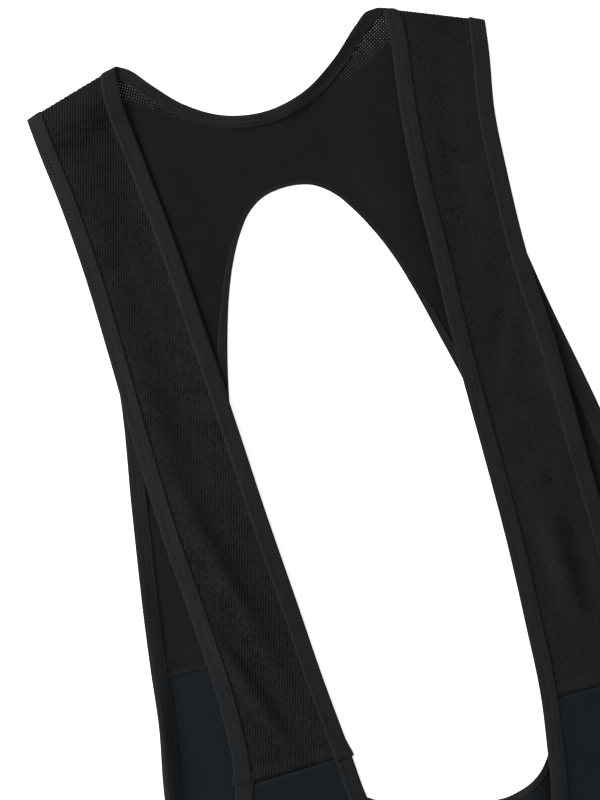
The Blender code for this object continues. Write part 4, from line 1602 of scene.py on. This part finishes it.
class BIB_OT_stitches(bpy.types.Operator):
    """Sews the neck and armhole bindings with two rows on both faces, the yoke's seam and the hems"""

    bl_idname = "bib.stitches"
    bl_label = "Stitches"

    def execute(self, context):
        sewing = context.scene.bib_sewing
        thread = thread_material(sewing.thread_colour)
        # the needle holes take a near-black material, painted shade
        dark, _ = new_material("needle holes painted shade", sewing.needle_hole_shade, 0.9)
        heights = {point.share: point.height for point in BINDING_FACE}
        outer_rows, inner_rows = [], []
        for name, (points, normals, _) in strips(STITCH_ROWS).items():
            if name == "opening":
                continue
            for k, share in enumerate(STITCH_ROWS):
                for face, rows in ((1, outer_rows), (-1, inner_rows)):
                    line = points[:, k] + face * normals[:, k] * heights[share]
                    rows.append(stitch_line(line, face * normals[:, k], sewing.stitch_length / MM))
        for side in (LEFT, RIGHT):
            inner_rows += [yoke_zigzag(side, offset) for offset in (0, 1)]
            outer_rows += [hem_row(side, row, sewing) for row in HEM_STITCHES]
        for name, rows in (("stitches_outside", outer_rows), ("stitches_inside", inner_rows)):
            piece = threads(name, *(np.vstack(part) for part in zip(*rows)), sewing)
            piece.data.materials.append(thread)
            piece.data.materials.append(dark)
            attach(piece, "root")
        return {"FINISHED"}


def aimed(start, aim):
    """The turn that points a light or a camera at a place."""
    return (Vector(aim) - Vector(start)).to_track_quat("-Z", "Y").to_euler()


def even_light(strength):
    """A white world that lights the garment from all round."""
    world = bpy.data.worlds.new("even light")
    world.use_nodes = True
    background = world.node_tree.nodes["Background"]
    background.inputs["Color"].default_value = (1, 1, 1, 1)
    background.inputs["Strength"].default_value = strength
    return world


class BIB_OT_stage(bpy.types.Operator):
    """Sets up the floor, the lights and the camera"""

    bl_idname = "bib.stage"
    bl_label = "Stage"

    def execute(self, context):
        stage = context.scene.bib_stage
        bpy.ops.object.select_all(action="DESELECT")
        bpy.ops.mesh.primitive_plane_add(size=FLOOR_SIZE, location=(0, 0, 0))
        floor = context.object
        floor.name = "floor"
        floor.data.materials.append(floor_material())
        context.scene.world = even_light(stage.sky)
        turn = stage.view_turn
        left = np.array([-math.cos(turn), -math.sin(turn)])
        up = np.array([-math.sin(turn), math.cos(turn)])
        middle = np.array(VIEW_MIDDLE) * MM
        spot = middle + KEY_LIGHT.left * left + KEY_LIGHT.up * up
        bpy.ops.object.light_add(type="AREA", location=(*spot, KEY_LIGHT.height))
        key = context.object
        key.name = "key light"
        key.data.shape = "RECTANGLE"
        key.data.size = KEY_LIGHT.size
        key.data.size_y = KEY_LIGHT.size
        key.data.energy = stage.key_power
        key.rotation_euler = aimed(key.location, (*middle, 0.0))
        bpy.ops.object.camera_add(
            location=(*middle, stage.view_height * stage.lens / SENSOR + FLAT_CLOTH), rotation=(0, 0, turn)
        )
        camera = context.object
        camera.name = "view"
        camera.data.name = "view"
        camera.data.lens = stage.lens
        camera.data.sensor_width = SENSOR
        camera.data.clip_start = 0.05
        camera.data.clip_end = 50
        context.scene.camera = camera
        context.scene.view_settings.view_transform = "Standard"
        return {"FINISHED"}


class BIB_PT_panel(bpy.types.Panel):
    """Lists the garment's pieces and the stage"""

    bl_idname = "BIB_PT_panel"
    bl_label = "Bib shorts"
    bl_space_type = "VIEW_3D"
    bl_region_type = "UI"
    bl_category = "Bib shorts"

    def draw(self, context):
        layout = self.layout
        for operator in OPERATORS:
            layout.operator(operator.bl_idname)
        for key in GROUPS:
            group = getattr(context.scene, key)
            for name in group.__annotations__:
                layout.prop(group, name)


GROUPS = {"bib_cloth": BibCloth, "bib_sewing": BibSewing, "bib_stage": BibStage}
OPERATORS = (BIB_OT_bindings, BIB_OT_stitches, BIB_OT_straps, BIB_OT_yoke, BIB_OT_knit, BIB_OT_stage)


def register():
    for kind in (*GROUPS.values(), *OPERATORS, BIB_PT_panel):
        bpy.utils.register_class(kind)
    for name, kind in GROUPS.items():
        setattr(bpy.types.Scene, name, bpy.props.PointerProperty(type=kind))


def unregister():
    for name in GROUPS:
        delattr(bpy.types.Scene, name)
    for kind in (BIB_PT_panel, *OPERATORS[::-1], *tuple(GROUPS.values())[::-1]):
        bpy.utils.unregister_class(kind)


def main():
    register()
    bpy.ops.bib.bindings()
    bpy.ops.bib.stitches()
    bpy.ops.bib.straps()
    bpy.ops.bib.yoke()
    bpy.ops.bib.knit()
    bpy.ops.bib.stage()


if __name__ == "__main__":
    main()
